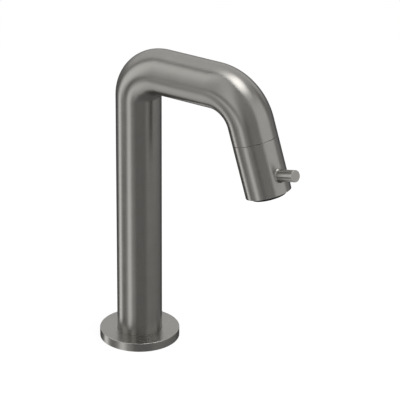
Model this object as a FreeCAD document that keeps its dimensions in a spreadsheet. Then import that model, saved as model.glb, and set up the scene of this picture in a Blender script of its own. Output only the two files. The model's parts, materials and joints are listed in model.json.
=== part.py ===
import FreeCAD, Part
import math
import os
import re

import Sketcher

# Basin tap with a bent tube spout and a shut-off valve in its turning outlet.
# Millimetres and degrees. The origin is the centre of the flange's underside,
# +Z is up and the spout reaches towards -Y.

SIZES = (
    # Spout tube, by its centre line
    ("tube_diameter", 25.0),
    ("tube_wall", 1.5),
    ("run_height", 161.5),
    ("run_length", 66.5),
    ("column_bend", 16.5),
    ("outlet_bend", 23.2),
    ("outlet_tilt", 17.2),
    ("bend_margin", 1.0),
    # Radial gaps: joined pieces, turning pieces and loose pieces
    ("fit_gap", 0.02),
    ("turn_gap", 0.05),
    ("play_gap", 0.1),
    # Flange and its gasket
    ("flange_diameter", 44.4),
    ("flange_thickness", 5.0),
    ("flange_chamfer", 0.35),
    ("socket_depth", 2.5),
    ("ledge_thickness", 1.5),
    ("gasket_margin", 1.7),
    ("gasket_inset", 2.0),
    ("gasket_thickness", 1.2),
    # Threaded shank, its seal and the inlet
    ("shoulder_width", 1.0),
    ("shank_length", 34.0),
    ("shank_wall", 4.0),
    ("inlet_diameter", 20.955),
    ("inlet_length", 14.0),
    ("thread_chamfer", 1.0),
    ("spigot_length", 19.0),
    ("seal_height", 14.0),
    ("seal_section", 1.78),
    ("groove_play", 0.6),
    # Washers and nut under the deck, drawn at this deck thickness
    ("deck_thickness", 15.0),
    ("washer_diameter", 38.0),
    ("washer_play", 0.2),
    ("rubber_thickness", 3.0),
    ("steel_thickness", 2.0),
    ("nut_flats", 32.0),
    ("nut_height", 8.0),
    ("nut_chamfer", 0.8),
    # Outlet sleeve
    ("sleeve_wall", 1.6),
    ("rim_wall", 3.2),
    ("rim_chamfer", 0.1),
    ("aerator_depth", 6.5),
    ("web_thickness", 7.2),
    ("seam_gap", 0.2),
    ("seam_setback", 0.4),
    # Lever
    ("lever_angle", 13.5),
    ("lever_diameter", 6.5),
    ("lever_length", 12.1),
    ("lever_wall", 0.75),
    ("lever_flare", 1.3),
    ("lever_chamfer", 0.25),
    ("flare_edge", 0.1),
    ("stud_engagement", 4.5),
    ("stud_chamfer", 0.4),
    ("stud_play", 0.3),
    ("socket_flats", 2.5),
    ("socket_reach", 3.0),
    # Quarter-turn stop
    ("valve_turn", 90.0),
    ("stop_angle", 60.0),
    ("stop_play", 0.5),
    ("stop_gap", 0.4),
    ("stop_height", 2.0),
    ("stop_ring", 1.4),
    # Cartridge body and the bush that holds it
    ("bush_wall", 2.0),
    ("bush_length", 8.5),
    ("bush_seal", 1.2),
    ("bush_play", 0.2),
    ("thread_relief", 0.4),
    ("skirt_room", 0.4),
    ("collar_height", 2.5),
    ("collar_step", 1.2),
    ("wrench_cut", 1.0),
    ("barrel_length", 13.9),
    ("cartridge_wall", 2.0),
    ("gland_step", 1.45),
    ("gland_length", 5.0),
    ("key_width", 2.2),
    ("key_depth", 0.7),
    # Spindle, its seals and its clip
    ("stem_wall", 1.9),
    ("stem_lift", 0.2),
    ("stem_seal", 1.15),
    ("seal_land", 0.6),
    ("stem_groove", 1.6),
    ("flat_depth", 0.6),
    ("clip_width", 1.1),
    ("clip_bite", 0.6),
    ("clip_thickness", 0.8),
    ("clip_gap", 0.3),
    ("clip_opening", 4.0),
    ("thrust_thickness", 0.6),
    ("head_height", 4.0),
    ("head_gap", 0.15),
    ("cup_depth", 2.0),
    ("dog_width", 2.0),
    ("dog_length", 2.1),
    ("dog_height", 0.9),
    ("dog_gap", 0.1),
    # Ceramic discs, inlet seal and retainer
    ("disc_thickness", 2.5),
    ("disc_rim", 1.0),
    ("disc_hub", 1.5),
    ("port_angle", 80.0),
    ("inlet_seal", 2.0),
    ("retainer_height", 3.0),
    ("retainer_wall", 2.0),
    ("slot_width", 2.0),
    ("slot_depth", 1.2),
    # Aerator
    ("aerator_proud", 1.75),
    ("aerator_seal", 0.8),
    ("aerator_wall", 1.35),
    ("lip_width", 0.7),
    ("lip_height", 0.8),
    ("notch_width", 1.4),
    ("notch_depth", 0.45),
    ("grid_thickness", 2.0),
    ("cell_pitch", 1.9),
    ("cell_flats", 1.6),
    ("grid_rim", 0.8),
    ("mixer_thickness", 1.2),
    ("mixer_hole", 0.9),
    ("mixer_inset", 2.4),
    ("strainer_sheet", 0.6),
    ("strainer_pitch", 1.5),
    ("strainer_hole", 0.8),
)

NOTCH_COUNT = 8
MIXER_HOLES = 12

# How far a cut runs past the solid that it cuts
PAST = 1

# Heights in the row's frame
tube_start = "(flange_thickness - socket_depth)"
shank_shoulder = f"({tube_start} - ledge_thickness)"

# Radii that follow from the tube, from the outside in
tube_radius = "(tube_diameter / 2)"
tube_bore = f"({tube_radius} - tube_wall)"
spigot_radius = f"({tube_bore} - fit_gap)"
shank_radius = f"({tube_bore} + shoulder_width)"
water_radius = f"({spigot_radius} - shank_wall)"
sleeve_bore = f"({tube_radius} - sleeve_wall)"
bush_radius = f"({tube_bore} - bush_wall)"
cartridge_bore = f"({bush_radius} - cartridge_wall)"
gland_bore = f"({cartridge_bore} - gland_step)"
stem_radius = f"({gland_bore} - turn_gap)"
stem_hole = f"({stem_radius} - stem_wall)"
stop_inner = f"({stem_radius} + stop_ring)"
collar_radius = f"({sleeve_bore} - skirt_room)"
barrel_radius = f"({collar_radius} - collar_step)"
disc_radius = f"({cartridge_bore} - play_gap)"
port_radius = f"({disc_radius} - disc_rim)"
aerator_bore = f"({tube_radius} - rim_wall)"
aerator_radius = f"({aerator_bore} - fit_gap)"
aerator_inside = f"({aerator_radius} - aerator_wall)"
insert_radius = f"({aerator_inside} - turn_gap)"
lever_radius = "(lever_diameter / 2)"
stud_radius = f"({lever_radius} - lever_wall)"

# Heights along the outlet's axis, from the rim upstream
web_top = "(aerator_depth + web_thickness)"
lever_height = "(aerator_depth + web_thickness / 2)"
barrel_bottom = f"({web_top} + stop_gap + stop_height)"
tube_end = f"({barrel_bottom} + barrel_length)"
head_top = f"({tube_end} - seam_gap)"
gland_top = f"({barrel_bottom} + gland_length)"
spindle_shoulder = f"({gland_top} + thrust_thickness)"
spindle_top = f"({spindle_shoulder} + head_height)"
disc_joint = f"({spindle_top} + disc_thickness)"
disc_top = f"({disc_joint} + disc_thickness)"
seal_top = f"({disc_top} + inlet_seal)"
retainer_top = f"({seal_top} + retainer_height)"
bush_top = f"({tube_end} + bush_length)"
cartridge_top = f"({bush_top} - thread_relief)"
clip_top = f"({barrel_bottom} - clip_gap)"
housing_top = "(aerator_depth - aerator_seal)"
grid_bottom = "(lip_height - aerator_proud)"
grid_top = f"({grid_bottom} + grid_thickness)"
mixer_top = f"({grid_top} + mixer_thickness)"

# The outlet's axis leaves the corner of the centre line at outlet_tilt from
# straight down. The corner is where the run's line and the outlet's line meet.
bend_turn = "(90 - outlet_tilt)"
bend_tangent = f"(outlet_bend * tan({bend_turn} / 2))"
outlet_length = f"({bush_top} + bend_margin + {bend_tangent})"
rim_forward = f"(run_length + {outlet_length} * sin(outlet_tilt))"
rim_height = f"(run_height - {outlet_length} * cos(outlet_tilt))"

# Frames of the outlet's pieces and of the lever's. The others lie in the row's frame.
OUTLET_FRAME = (
    f"placement(vector(0; -{rim_forward}; {rim_height}); "
    "rotation(vector(1; 0; 0); -outlet_tilt) * rotation(vector(0; 0; 1); -lever_angle))"
)
LEVER_FRAME = (
    f"{OUTLET_FRAME} * placement(vector(0; 0; {lever_height}); rotation(vector(1; 0; 0); 90))"
)

doc = FreeCAD.newDocument("basin_tap")
sheet = doc.addObject("Spreadsheet::Sheet", "sizes")
pieces = []


def fill_sheet():
    """Give each driving dimension a cell of its own and an alias"""
    for row, (alias, number) in enumerate(SIZES, start=1):
        sheet.set(f"A{row}", str(number))
        sheet.setAlias(f"A{row}", alias)
    doc.recompute()


def formula(text):
    """Write the sheet's name before each of its aliases, which all hold an underscore"""
    return re.sub(r"[a-z]+(?:_[a-z]+)+", lambda found: "sizes." + found.group(0), text)


def value(text):
    """The number that a formula has now"""
    return float(sheet.evalExpression(formula(text)))


def bind(item, name, text):
    """Tie a property of an object to the sheet"""
    item.setExpression(name, formula(text))


def keep(item, label, frame=None):
    """Name a finished piece, place it in its frame and list it for writing"""
    item.Label = label
    if frame:
        bind(item, "Placement", frame)
    pieces.append(item)
    return item


def new_body(label, frame=None):
    body = doc.addObject("PartDesign::Body", label + "_body")
    return keep(body, label, frame)


def new_sketch(body, name, role, height="0"):
    """A sketch on one of the body's own origin planes, lifted along its normal"""
    sketch = body.newObject("Sketcher::SketchObject", name)
    plane = [item for item in body.Origin.OriginFeatures if item.Role == role][0]
    sketch.AttachmentSupport = [(plane, "")]
    sketch.MapMode = "FlatFace"
    if height != "0":
        bind(sketch, "AttachmentOffset.Base.z", height)
    return sketch


def constrain(sketch, *terms):
    return sketch.addConstraint(Sketcher.Constraint(*terms))


def pin_point(sketch, edge, end, across, up):
    """Hold one end of an edge at a distance across and up from the sketch's origin"""
    for kind, text, axis in (("DistanceX", across, -2), ("DistanceY", up, -1)):
        if text == "0":
            constrain(sketch, "PointOnObject", edge, end, axis)
        else:
            index = constrain(sketch, kind, -1, 1, edge, end, value(text))
            bind(sketch, f"Constraints[{index}]", text)


def draw_outline(sketch, points):
    """Closed outline of straight lines, each corner a pair of formulas"""
    corners = [FreeCAD.Vector(value(across), value(up), 0) for across, up in points]
    first = sketch.GeometryCount
    count = len(corners)
    for index in range(count):
        sketch.addGeometry(Part.LineSegment(corners[index], corners[(index + 1) % count]))
    for index in range(count):
        constrain(sketch, "Coincident", first + index, 2, first + (index + 1) % count, 1)
    for index, (across, up) in enumerate(points):
        pin_point(sketch, first + index, 1, across, up)


def draw_circle(sketch, radius, across="0", up="0"):
    middle = FreeCAD.Vector(value(across), value(up), 0)
    index = sketch.addGeometry(Part.Circle(middle, FreeCAD.Vector(0, 0, 1), value(radius)))
    pin_point(sketch, index, 3, across, up)
    size = constrain(sketch, "Radius", index, value(radius))
    bind(sketch, f"Constraints[{size}]", radius)


def draw_sector(sketch, inner, outer, low, high):
    """Part of a ring about the sketch's origin, between two angles"""
    ends = [math.radians(value(angle)) for angle in (low, high)]
    arcs = []
    for radius in (inner, outer):
        circle = Part.Circle(FreeCAD.Vector(0, 0, 0), FreeCAD.Vector(0, 0, 1), value(radius))
        arc = sketch.addGeometry(Part.ArcOfCircle(circle, *ends))
        constrain(sketch, "Coincident", arc, 3, -1, 1)
        size = constrain(sketch, "Radius", arc, value(radius))
        bind(sketch, f"Constraints[{size}]", radius)
        arcs.append(arc)
    for end, angle in ((1, low), (2, high)):
        along = FreeCAD.Vector(math.cos(ends[end - 1]), math.sin(ends[end - 1]), 0)
        side = Part.LineSegment(along * value(inner), along * value(outer))
        line = sketch.addGeometry(side)
        constrain(sketch, "Coincident", line, 1, arcs[0], end)
        constrain(sketch, "Coincident", line, 2, arcs[1], end)
        slope = constrain(sketch, "Angle", line, ends[end - 1])
        bind(sketch, f"Constraints[{slope}]", angle)


def turn(body, points, name="profile"):
    """Revolve an outline of (radius, height) pairs about the body's own Z axis"""
    sketch = new_sketch(body, name, "XZ_Plane")
    draw_outline(sketch, points)
    feature = body.newObject("PartDesign::Revolution", name + "_turned")
    feature.Profile = sketch
    feature.ReferenceAxis = (sketch, ["V_Axis"])
    feature.Angle = 360
    doc.recompute()
    return feature


def turned_piece(label, points, frame=None):
    body = new_body(label, frame)
    turn(body, points)
    return body


def ring(label, inner, outer, low, high, frame=None):
    """A plain ring between two radii and two heights"""
    corners = ((inner, low), (outer, low), (outer, high), (inner, high))
    return turned_piece(label, corners, frame)


def must_cut(feature, before):
    """A cut that points away from the solid removes nothing, so its volume is compared"""
    if feature.Shape.isNull() or feature.Shape.Volume > before - 1e-4:
        raise RuntimeError(feature.Name + " removes nothing")
    return feature


def pad(body, sketch, length):
    feature = body.newObject("PartDesign::Pad", sketch.Name + "_pad")
    feature.Profile = sketch
    bind(feature, "Length", length)
    doc.recompute()
    return feature


def pocket(body, sketch, length, reverse=False):
    """Cut down from the sketch's plane, or up where reverse is set"""
    before = body.Shape.Volume
    feature = body.newObject("PartDesign::Pocket", sketch.Name + "_pocket")
    feature.Profile = sketch
    bind(feature, "Length", length)
    feature.Reversed = reverse
    doc.recompute()
    return must_cut(feature, before)


def groove(body, points, name):
    """Turn an outline about the Z axis and cut it away"""
    before = body.Shape.Volume
    sketch = new_sketch(body, name, "XZ_Plane")
    draw_outline(sketch, points)
    feature = body.newObject("PartDesign::Groove", name + "_cut")
    feature.Profile = sketch
    feature.ReferenceAxis = (sketch, ["V_Axis"])
    feature.Angle = 360
    doc.recompute()
    return must_cut(feature, before)


def repeat_round(body, feature, count):
    """Repeat a feature evenly about the body's Z axis"""
    pattern = body.newObject("PartDesign::PolarPattern", feature.Name + "_round")
    pattern.Originals = [feature]
    pattern.Axis = ([item for item in body.Origin.OriginFeatures if item.Role == "Z_Axis"][0], [""])
    pattern.Angle = 360
    pattern.Occurrences = count
    body.Tip = pattern
    doc.recompute()
    return pattern


def box_outline(left, right, front, back):
    return ((left, front), (right, front), (right, back), (left, back))


def torus(name, height, large, small):
    """A round seal about the Z axis"""
    item = doc.addObject("Part::Torus", name)
    bind(item, "Radius1", large)
    bind(item, "Radius2", small)
    bind(item, "Placement.Base.z", height)
    return item


def round_seal(label, bore, section, middle, frame=None):
    """One O-ring that lies inside a bore, a fit_gap clear of it"""
    item = torus(label + "_ring", middle, f"{bore} - {section} / 2", f"{section} / 2 - fit_gap")
    group = doc.addObject("Part::Compound", label + "_group")
    group.Links = [item]
    return keep(group, label, frame)


def make_spout_tube():
    """One tube: column, bend, run, bend and a straight outlet end"""
    body = new_body("spout_tube")
    path = new_sketch(body, "centre_line", "YZ_Plane")
    height = value("run_height")
    reach = value("run_length")
    first = value("column_bend")
    second = value("outlet_bend")
    tilt = math.radians(value("outlet_tilt"))
    tangent = value(bend_tangent)
    length = value(f"{outlet_length} - {tube_end}")

    def point(across, up):
        return FreeCAD.Vector(across, up, 0)

    out = point(-math.sin(tilt), -math.cos(tilt))
    foot = point(0, value(tube_start))
    corner = point(-reach, height)
    column_top = point(0, height - first)
    run_start = point(-first, height)
    run_end = point(tangent - reach, height)
    outlet_start = corner + out * tangent
    outlet_end = corner + out * length
    first_mid = point(-first * (1 - math.sqrt(0.5)), height - first * (1 - math.sqrt(0.5)))
    half = math.radians(value(bend_turn)) / 2
    second_mid = run_end + point(-second * math.sin(half), -second * (1 - math.cos(half)))
    column = path.addGeometry(Part.LineSegment(foot, column_top))
    bend_one = path.addGeometry(Part.Arc(column_top, first_mid, run_start))
    run = path.addGeometry(Part.LineSegment(run_start, run_end))
    bend_two = path.addGeometry(Part.Arc(run_end, second_mid, outlet_start))
    outlet = path.addGeometry(Part.LineSegment(outlet_start, outlet_end))
    chain = ((column, bend_one), (bend_one, run), (run, bend_two), (bend_two, outlet))
    for before, after in chain:
        ends = [
            (one, two)
            for one in (1, 2)
            for two in (1, 2)
            if path.getPoint(before, one).isEqual(path.getPoint(after, two), 1e-6)
        ][0]
        constrain(path, "Tangent", before, ends[0], after, ends[1])
    pin_point(path, column, 1, "0", tube_start)
    constrain(path, "Vertical", column)
    for arc, radius in ((bend_one, "column_bend"), (bend_two, "outlet_bend")):
        size = constrain(path, "Radius", arc, value(radius))
        bind(path, f"Constraints[{size}]", radius)
    reach_out = f"({outlet_length} - {tube_end})"
    end_across = f"-(run_length + {reach_out} * sin(outlet_tilt))"
    pin_point(path, outlet, 2, end_across, f"run_height - {reach_out} * cos(outlet_tilt)")
    level = constrain(path, "DistanceY", -1, 1, run, 1, height)
    bind(path, f"Constraints[{level}]", "run_height")

    section = new_sketch(body, "tube_section", "XY_Plane", tube_start)
    draw_circle(section, tube_radius)
    draw_circle(section, tube_bore)
    doc.recompute()
    pipe = body.newObject("PartDesign::AdditivePipe", "tube_sweep")
    pipe.Profile = section
    pipe.Spine = (path, [f"Edge{index + 1}" for index in range(5)])
    doc.recompute()
    return body


def make_flange():
    """Round deck flange: socket for the tube, ledge on the shank and gasket groove"""
    outer = "(flange_diameter / 2)"
    groove_in = f"({tube_radius} + gasket_inset)"
    groove_out = f"({outer} - gasket_margin)"
    hole = f"({spigot_radius} + turn_gap)"
    relief = f"({shank_radius} + turn_gap)"
    socket = f"({tube_radius} + fit_gap)"
    return turned_piece("flange", (
        (hole, shank_shoulder),
        (relief, shank_shoulder),
        (relief, "0"),
        (groove_in, "0"),
        (groove_in, "gasket_thickness"),
        (groove_out, "gasket_thickness"),
        (groove_out, "0"),
        (outer, "0"),
        (outer, "flange_thickness - flange_chamfer"),
        (f"{outer} - flange_chamfer", "flange_thickness"),
        (socket, "flange_thickness"),
        (socket, tube_start),
        (hole, tube_start),
    ))


def make_deck_gasket():
    inner = f"{tube_radius} + gasket_inset + play_gap"
    outer = "flange_diameter / 2 - gasket_margin - play_gap"
    return ring("deck_gasket", inner, outer, "0", "gasket_thickness")


def make_shank():
    """Hollow threaded shank: spigot in the tube, thread for the nut and inlet thread"""
    low = "-(shank_length + inlet_length)"
    inlet = "(inlet_diameter / 2)"
    top = f"({shank_shoulder} + spigot_length)"
    floor = f"({tube_bore} - seal_section)"
    slot = f"({shank_shoulder} + seal_height)"
    return turned_piece("shank", (
        (water_radius, low),
        (f"{inlet} - thread_chamfer", low),
        (inlet, f"{low} + thread_chamfer"),
        (inlet, "-shank_length"),
        (f"{shank_radius} - thread_chamfer", "-shank_length"),
        (shank_radius, "thread_chamfer - shank_length"),
        (shank_radius, shank_shoulder),
        (spigot_radius, shank_shoulder),
        (spigot_radius, slot),
        (floor, slot),
        (floor, f"{slot} + seal_section + groove_play"),
        (spigot_radius, f"{slot} + seal_section + groove_play"),
        (spigot_radius, f"{top} - thread_chamfer"),
        (f"{spigot_radius} - thread_chamfer", top),
        (water_radius, top),
    ))


def make_shank_seal():
    middle = f"{shank_shoulder} + seal_height + (seal_section + groove_play) / 2"
    return round_seal("shank_o_ring", tube_bore, "seal_section", middle)


def make_washers():
    """Rubber and steel washers loose on the shank, under the deck"""
    bore = f"({shank_radius} + washer_play)"
    top = "(-deck_thickness)"
    middle = f"({top} - rubber_thickness)"
    low = f"({middle} - steel_thickness)"
    ring("rubber_washer", bore, "washer_diameter / 2", middle, top)
    ring("metal_washer", bore, "washer_diameter / 2", low, middle)


def make_back_nut():
    """Hexagon nut with chamfered corners, on the shank's thread"""
    body = new_body("back_nut")
    top = "(-(deck_thickness + rubber_thickness + steel_thickness))"
    low = f"({top} - nut_height)"
    corner = "(nut_flats / (2 * cos(30)))"
    sketch = new_sketch(body, "nut_hexagon", "XY_Plane", low)
    hexagon = [
        (f"{corner} * cos({60 * index + 30})", f"{corner} * sin({60 * index + 30})")
        for index in range(6)
    ]
    draw_outline(sketch, hexagon)
    pad(body, sketch, "nut_height")
    hole = new_sketch(body, "nut_bore", "XY_Plane", top)
    draw_circle(hole, f"{shank_radius} + fit_gap")
    pocket(body, hole, "nut_height")
    past = f"({corner} + {PAST})"
    for name, face, inward in (("nut_top", top, "-"), ("nut_low", low, "+")):
        groove(body, (
            ("nut_flats / 2", face),
            (past, face),
            (past, f"{face} {inward} nut_chamfer * ({past} - nut_flats / 2)"
                   f" / ({corner} - nut_flats / 2)"),
        ), name)
    return body


def make_end_bush():
    """Threaded bush brazed into the tube's end, with a recess for the seal"""
    recess = f"({bush_radius} + bush_seal)"
    step = f"({tube_end} + bush_seal + bush_play)"
    outer = f"({tube_bore} - fit_gap)"
    thread = f"({bush_radius} + fit_gap)"
    return turned_piece("end_bush", (
        (recess, tube_end),
        (outer, tube_end),
        (outer, bush_top),
        (thread, bush_top),
        (thread, step),
        (recess, step),
    ), OUTLET_FRAME)


def make_body_seal():
    middle = f"{tube_end} + (bush_seal + bush_play) / 2"
    recess = f"({bush_radius} + bush_seal)"
    return round_seal("body_o_ring", recess, "bush_seal", middle, OUTLET_FRAME)


def make_cartridge_body():
    """Valve body: thread in the bush, collar, barrel, gland and the stop's lug"""
    body = new_body("cartridge_body", OUTLET_FRAME)
    collar_low = f"({tube_end} - collar_height)"
    turn(body, (
        (gland_bore, barrel_bottom),
        (barrel_radius, barrel_bottom),
        (barrel_radius, collar_low),
        (collar_radius, collar_low),
        (collar_radius, tube_end),
        (bush_radius, tube_end),
        (bush_radius, cartridge_top),
        (cartridge_bore, cartridge_top),
        (cartridge_bore, gland_top),
        (gland_bore, gland_top),
    ))
    lug = new_sketch(body, "stop_lug", "XY_Plane", f"{barrel_bottom} - stop_height")
    start = "90 - (valve_turn + stop_angle) / 2"
    draw_sector(lug, stop_inner, f"{barrel_radius} - play_gap", start, f"{start} + stop_angle")
    pad(body, lug, "stop_height")
    flats = new_sketch(body, "wrench_flat", "XY_Plane", tube_end)
    edge = f"({collar_radius} - wrench_cut)"
    draw_outline(flats, box_outline(edge, f"{collar_radius} + {PAST}", f"-{collar_radius}", collar_radius))
    repeat_round(body, pocket(body, flats, "collar_height"), 2)
    keys = new_sketch(body, "disc_keyway", "XY_Plane", cartridge_top)
    reach = f"{cartridge_bore} + key_depth - turn_gap"
    draw_outline(keys, box_outline("-key_width / 2", "key_width / 2", stem_radius, reach))
    repeat_round(body, pocket(body, keys, f"{cartridge_top} - {disc_joint}"), 2)
    return body


def disc_blank(label, low):
    """A ceramic disc with no ports yet"""
    body = new_body(label, OUTLET_FRAME)
    sketch = new_sketch(body, label + "_round", "XY_Plane", low)
    draw_circle(sketch, disc_radius)
    pad(body, sketch, "disc_thickness")
    return body


def cut_ports(body, label, top, middle):
    """Two ports opposite each other, about one middle angle"""
    ports = new_sketch(body, label + "_port", "XY_Plane", top)
    draw_sector(ports, "disc_hub", port_radius, f"{middle} - port_angle / 2",
                f"{middle} + port_angle / 2")
    repeat_round(body, pocket(body, ports, "disc_thickness"), 2)


def make_fixed_disc():
    """Upper disc, keyed to the cartridge body, ports to the left and right"""
    body = disc_blank("fixed_disc", disc_joint)
    key = new_sketch(body, "disc_key", "XY_Plane", disc_joint)
    width = "(key_width / 2 - turn_gap)"
    reach = f"{cartridge_bore} + key_depth - 2 * turn_gap"
    draw_outline(key, box_outline(f"-{width}", width, f"{disc_radius} - disc_rim / 2", reach))
    repeat_round(body, pad(body, key, "disc_thickness"), 2)
    cut_ports(body, "fixed_disc", disc_top, "0")
    return body


def make_moving_disc():
    """Lower disc, turned by the spindle's dogs, ports front and back when shut"""
    body = disc_blank("moving_disc", spindle_top)
    notch = new_sketch(body, "drive_notch", "XY_Plane", spindle_top)
    half = "(dog_width / 2 + dog_gap)"
    inner = f"({port_radius} + play_gap - dog_length + disc_rim / 2)"
    draw_outline(notch, box_outline(f"{inner} - dog_gap", f"{disc_radius} + {PAST}", f"-{half}", half))
    repeat_round(body, pocket(body, notch, "dog_height + dog_gap", reverse=True), 2)
    cut_ports(body, "moving_disc", disc_joint, "90")
    return body


def make_valve_spindle():
    """Hollow spindle: stem in the sleeve's web, seal grooves, head and two dogs"""
    body = new_body("valve_spindle", OUTLET_FRAME)
    head = f"({cartridge_bore} - head_gap)"
    stem_low = "(aerator_depth + stem_lift)"
    clip_floor = f"({stem_radius} - clip_bite)"
    clip_low = f"({clip_top} - clip_thickness - play_gap)"
    floor = f"({gland_bore} - stem_seal)"
    corners = [
        (stem_hole, stem_low),
        (stem_radius, stem_low),
        (stem_radius, clip_low),
        (clip_floor, clip_low),
        (clip_floor, clip_top),
        (stem_radius, clip_top),
    ]
    for low in seal_grooves():
        high = f"{low} + stem_groove"
        corners += [(stem_radius, low), (floor, low), (floor, high), (stem_radius, high)]
    corners += [
        (stem_radius, spindle_shoulder),
        (head, spindle_shoulder),
        (head, spindle_top),
        (port_radius, spindle_top),
        (port_radius, f"{spindle_top} - cup_depth"),
        (stem_hole, f"{spindle_top} - cup_depth"),
    ]
    turn(body, corners)
    flat = new_sketch(body, "stud_flat", "XY_Plane", f"{web_top} - stud_chamfer")
    front = f"-({stem_radius} - flat_depth)"
    draw_outline(flat, box_outline(f"-{stem_radius}", stem_radius, f"-({stem_radius} + {PAST})", front))
    pocket(body, flat, "web_thickness - 2 * stud_chamfer")
    dog = new_sketch(body, "drive_dog", "XY_Plane", f"{spindle_top} - cup_depth")
    inner = f"({port_radius} + play_gap - dog_length + disc_rim / 2)"
    outer = f"({inner} + dog_length)"
    draw_outline(dog, box_outline(inner, outer, "-dog_width / 2", "dog_width / 2"))
    repeat_round(body, pad(body, dog, "cup_depth + dog_height"), 2)
    return body


def seal_grooves():
    """Lower edges of the two seal grooves, evenly placed in the gland"""
    low = f"({barrel_bottom} + (gland_length - 2 * stem_groove - seal_land) / 2)"
    return low, f"({low} + stem_groove + seal_land)"


def make_spindle_seals():
    """Two O-rings between the spindle and the gland"""
    rings = [
        torus(f"stem_ring_{index}", f"{low} + stem_groove / 2",
              f"{gland_bore} - stem_seal / 2", "stem_seal / 2 - fit_gap")
        for index, low in enumerate(seal_grooves())
    ]
    group = doc.addObject("Part::Compound", "stem_rings")
    group.Links = rings
    return keep(group, "spindle_o_rings", OUTLET_FRAME)


def make_spindle_circlip():
    """Open clip in the spindle's groove, under the gland"""
    body = new_body("spindle_circlip", OUTLET_FRAME)
    low = f"({clip_top} - clip_thickness - play_gap / 2)"
    sketch = new_sketch(body, "clip_ring", "XY_Plane", low)
    draw_circle(sketch, f"{stem_radius} - clip_bite + fit_gap")
    draw_circle(sketch, f"{stem_radius} + clip_width")
    pad(body, sketch, "clip_thickness")
    gap = new_sketch(body, "clip_gap_cut", "XY_Plane", f"{low} + clip_thickness")
    far = f"{stem_radius} + clip_width + {PAST}"
    draw_outline(gap, box_outline("-clip_opening / 2", "clip_opening / 2", "0", far))
    pocket(body, gap, "clip_thickness")
    return body


def make_thrust_washer():
    inner = f"{stem_radius} + play_gap"
    return ring("thrust_washer", inner, disc_radius, gland_top, spindle_shoulder, OUTLET_FRAME)


def make_inlet_seal():
    inner = f"{port_radius} + turn_gap"
    return ring("inlet_seal", inner, disc_radius, disc_top, seal_top, OUTLET_FRAME)


def make_seal_retainer():
    """Threaded ring above the seal, with two slots for a pin spanner"""
    outer = f"({cartridge_bore} - fit_gap)"
    inner = f"({outer} - retainer_wall)"
    body = ring("seal_retainer", inner, outer, seal_top, retainer_top, OUTLET_FRAME)
    slot = new_sketch(body, "spanner_slot", "XY_Plane", retainer_top)
    draw_outline(slot, box_outline("-slot_width / 2", "slot_width / 2", "0", f"{outer} + {PAST}"))
    repeat_round(body, pocket(body, slot, "slot_depth"), 2)
    return body


def make_slip_ring():
    """Plastic ring in the seam: a flange between tube and sleeve, and a skirt"""
    skirt_in = f"({collar_radius} + turn_gap)"
    skirt_out = f"({sleeve_bore} - turn_gap)"
    low = f"({tube_end} - collar_height)"
    edge = f"({tube_radius} - seam_setback)"
    return turned_piece("slip_ring", (
        (skirt_in, low),
        (skirt_out, low),
        (skirt_out, head_top),
        (edge, head_top),
        (edge, tube_end),
        (skirt_in, tube_end),
    ), OUTLET_FRAME)


def make_outlet_sleeve():
    """Turning outlet: aerator bore, web on the spindle, upper bore and stop wall"""
    body = new_body("outlet_sleeve", OUTLET_FRAME)
    stem_bore = f"({stem_radius} + fit_gap)"
    wall_top = f"({web_top} + stop_height)"
    turn(body, (
        (aerator_bore, "0"),
        (f"{tube_radius} - rim_chamfer", "0"),
        (tube_radius, "rim_chamfer"),
        (tube_radius, f"{head_top} - rim_chamfer"),
        (f"{tube_radius} - rim_chamfer", head_top),
        (sleeve_bore, head_top),
        (sleeve_bore, wall_top),
        (stop_inner, wall_top),
        (stop_inner, web_top),
        (stem_bore, web_top),
        (stem_bore, "aerator_depth"),
        (aerator_bore, "aerator_depth"),
    ))
    window = new_sketch(body, "stop_window", "XY_Plane", wall_top)
    half = "((valve_turn + stop_angle) / 2 + stop_play)"
    draw_sector(window, f"{stop_inner} - {PAST}", sleeve_bore, f"90 - {half}", f"90 + {half}")
    pocket(body, window, "stop_height")
    hole = new_sketch(body, "stud_hole", "XZ_Plane")
    draw_circle(hole, f"{stud_radius} + fit_gap", "0", lever_height)
    pocket(body, hole, f"{tube_radius} + {PAST}", reverse=True)
    return body


def make_lever_pin():
    """Round lever with a flared foot that seats on the sleeve, its axis along Z"""
    body = new_body("lever_pin", LEVER_FRAME)
    tip = f"({tube_radius} + lever_length)"
    form = body.newObject("PartDesign::AdditiveCylinder", "sleeve_form")
    form_radius = f"({tube_radius} - flare_edge)"
    bind(form, "Radius", form_radius)
    bind(form, "Height", "2 * lever_diameter")
    bind(form, "Placement", "placement(vector(0; lever_diameter; 0); rotation(vector(1; 0; 0); 90))")
    doc.recompute()
    core = turn(body, (
        ("0", "0"),
        (lever_radius, "0"),
        (lever_radius, f"{tip} - lever_chamfer"),
        (f"{lever_radius} - lever_chamfer", tip),
        ("0", tip),
    ), "lever_round")
    radius = value(form_radius)
    foot = [
        f"Edge{index + 1}"
        for index, edge in enumerate(core.Shape.Edges)
        if on_both_rounds(edge, value(lever_radius), radius)
    ]
    flare = body.newObject("PartDesign::Fillet", "lever_foot")
    flare.Base = (core, foot)
    bind(flare, "Radius", "lever_flare")
    doc.recompute()
    before = body.Shape.Volume
    saddle = body.newObject("PartDesign::SubtractiveCylinder", "sleeve_saddle")
    bind(saddle, "Radius", f"{tube_radius} + fit_gap")
    bind(saddle, "Height", "4 * lever_diameter")
    bind(saddle, "Placement",
         "placement(vector(0; 2 * lever_diameter; 0); rotation(vector(1; 0; 0); 90))")
    doc.recompute()
    must_cut(saddle, before)
    hole = new_sketch(body, "blind_hole", "XY_Plane", f"{tube_radius} + stud_engagement + stud_play")
    draw_circle(hole, f"{stud_radius} + fit_gap")
    pocket(body, hole, f"{tube_radius} + stud_engagement + stud_play")
    return body


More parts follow.
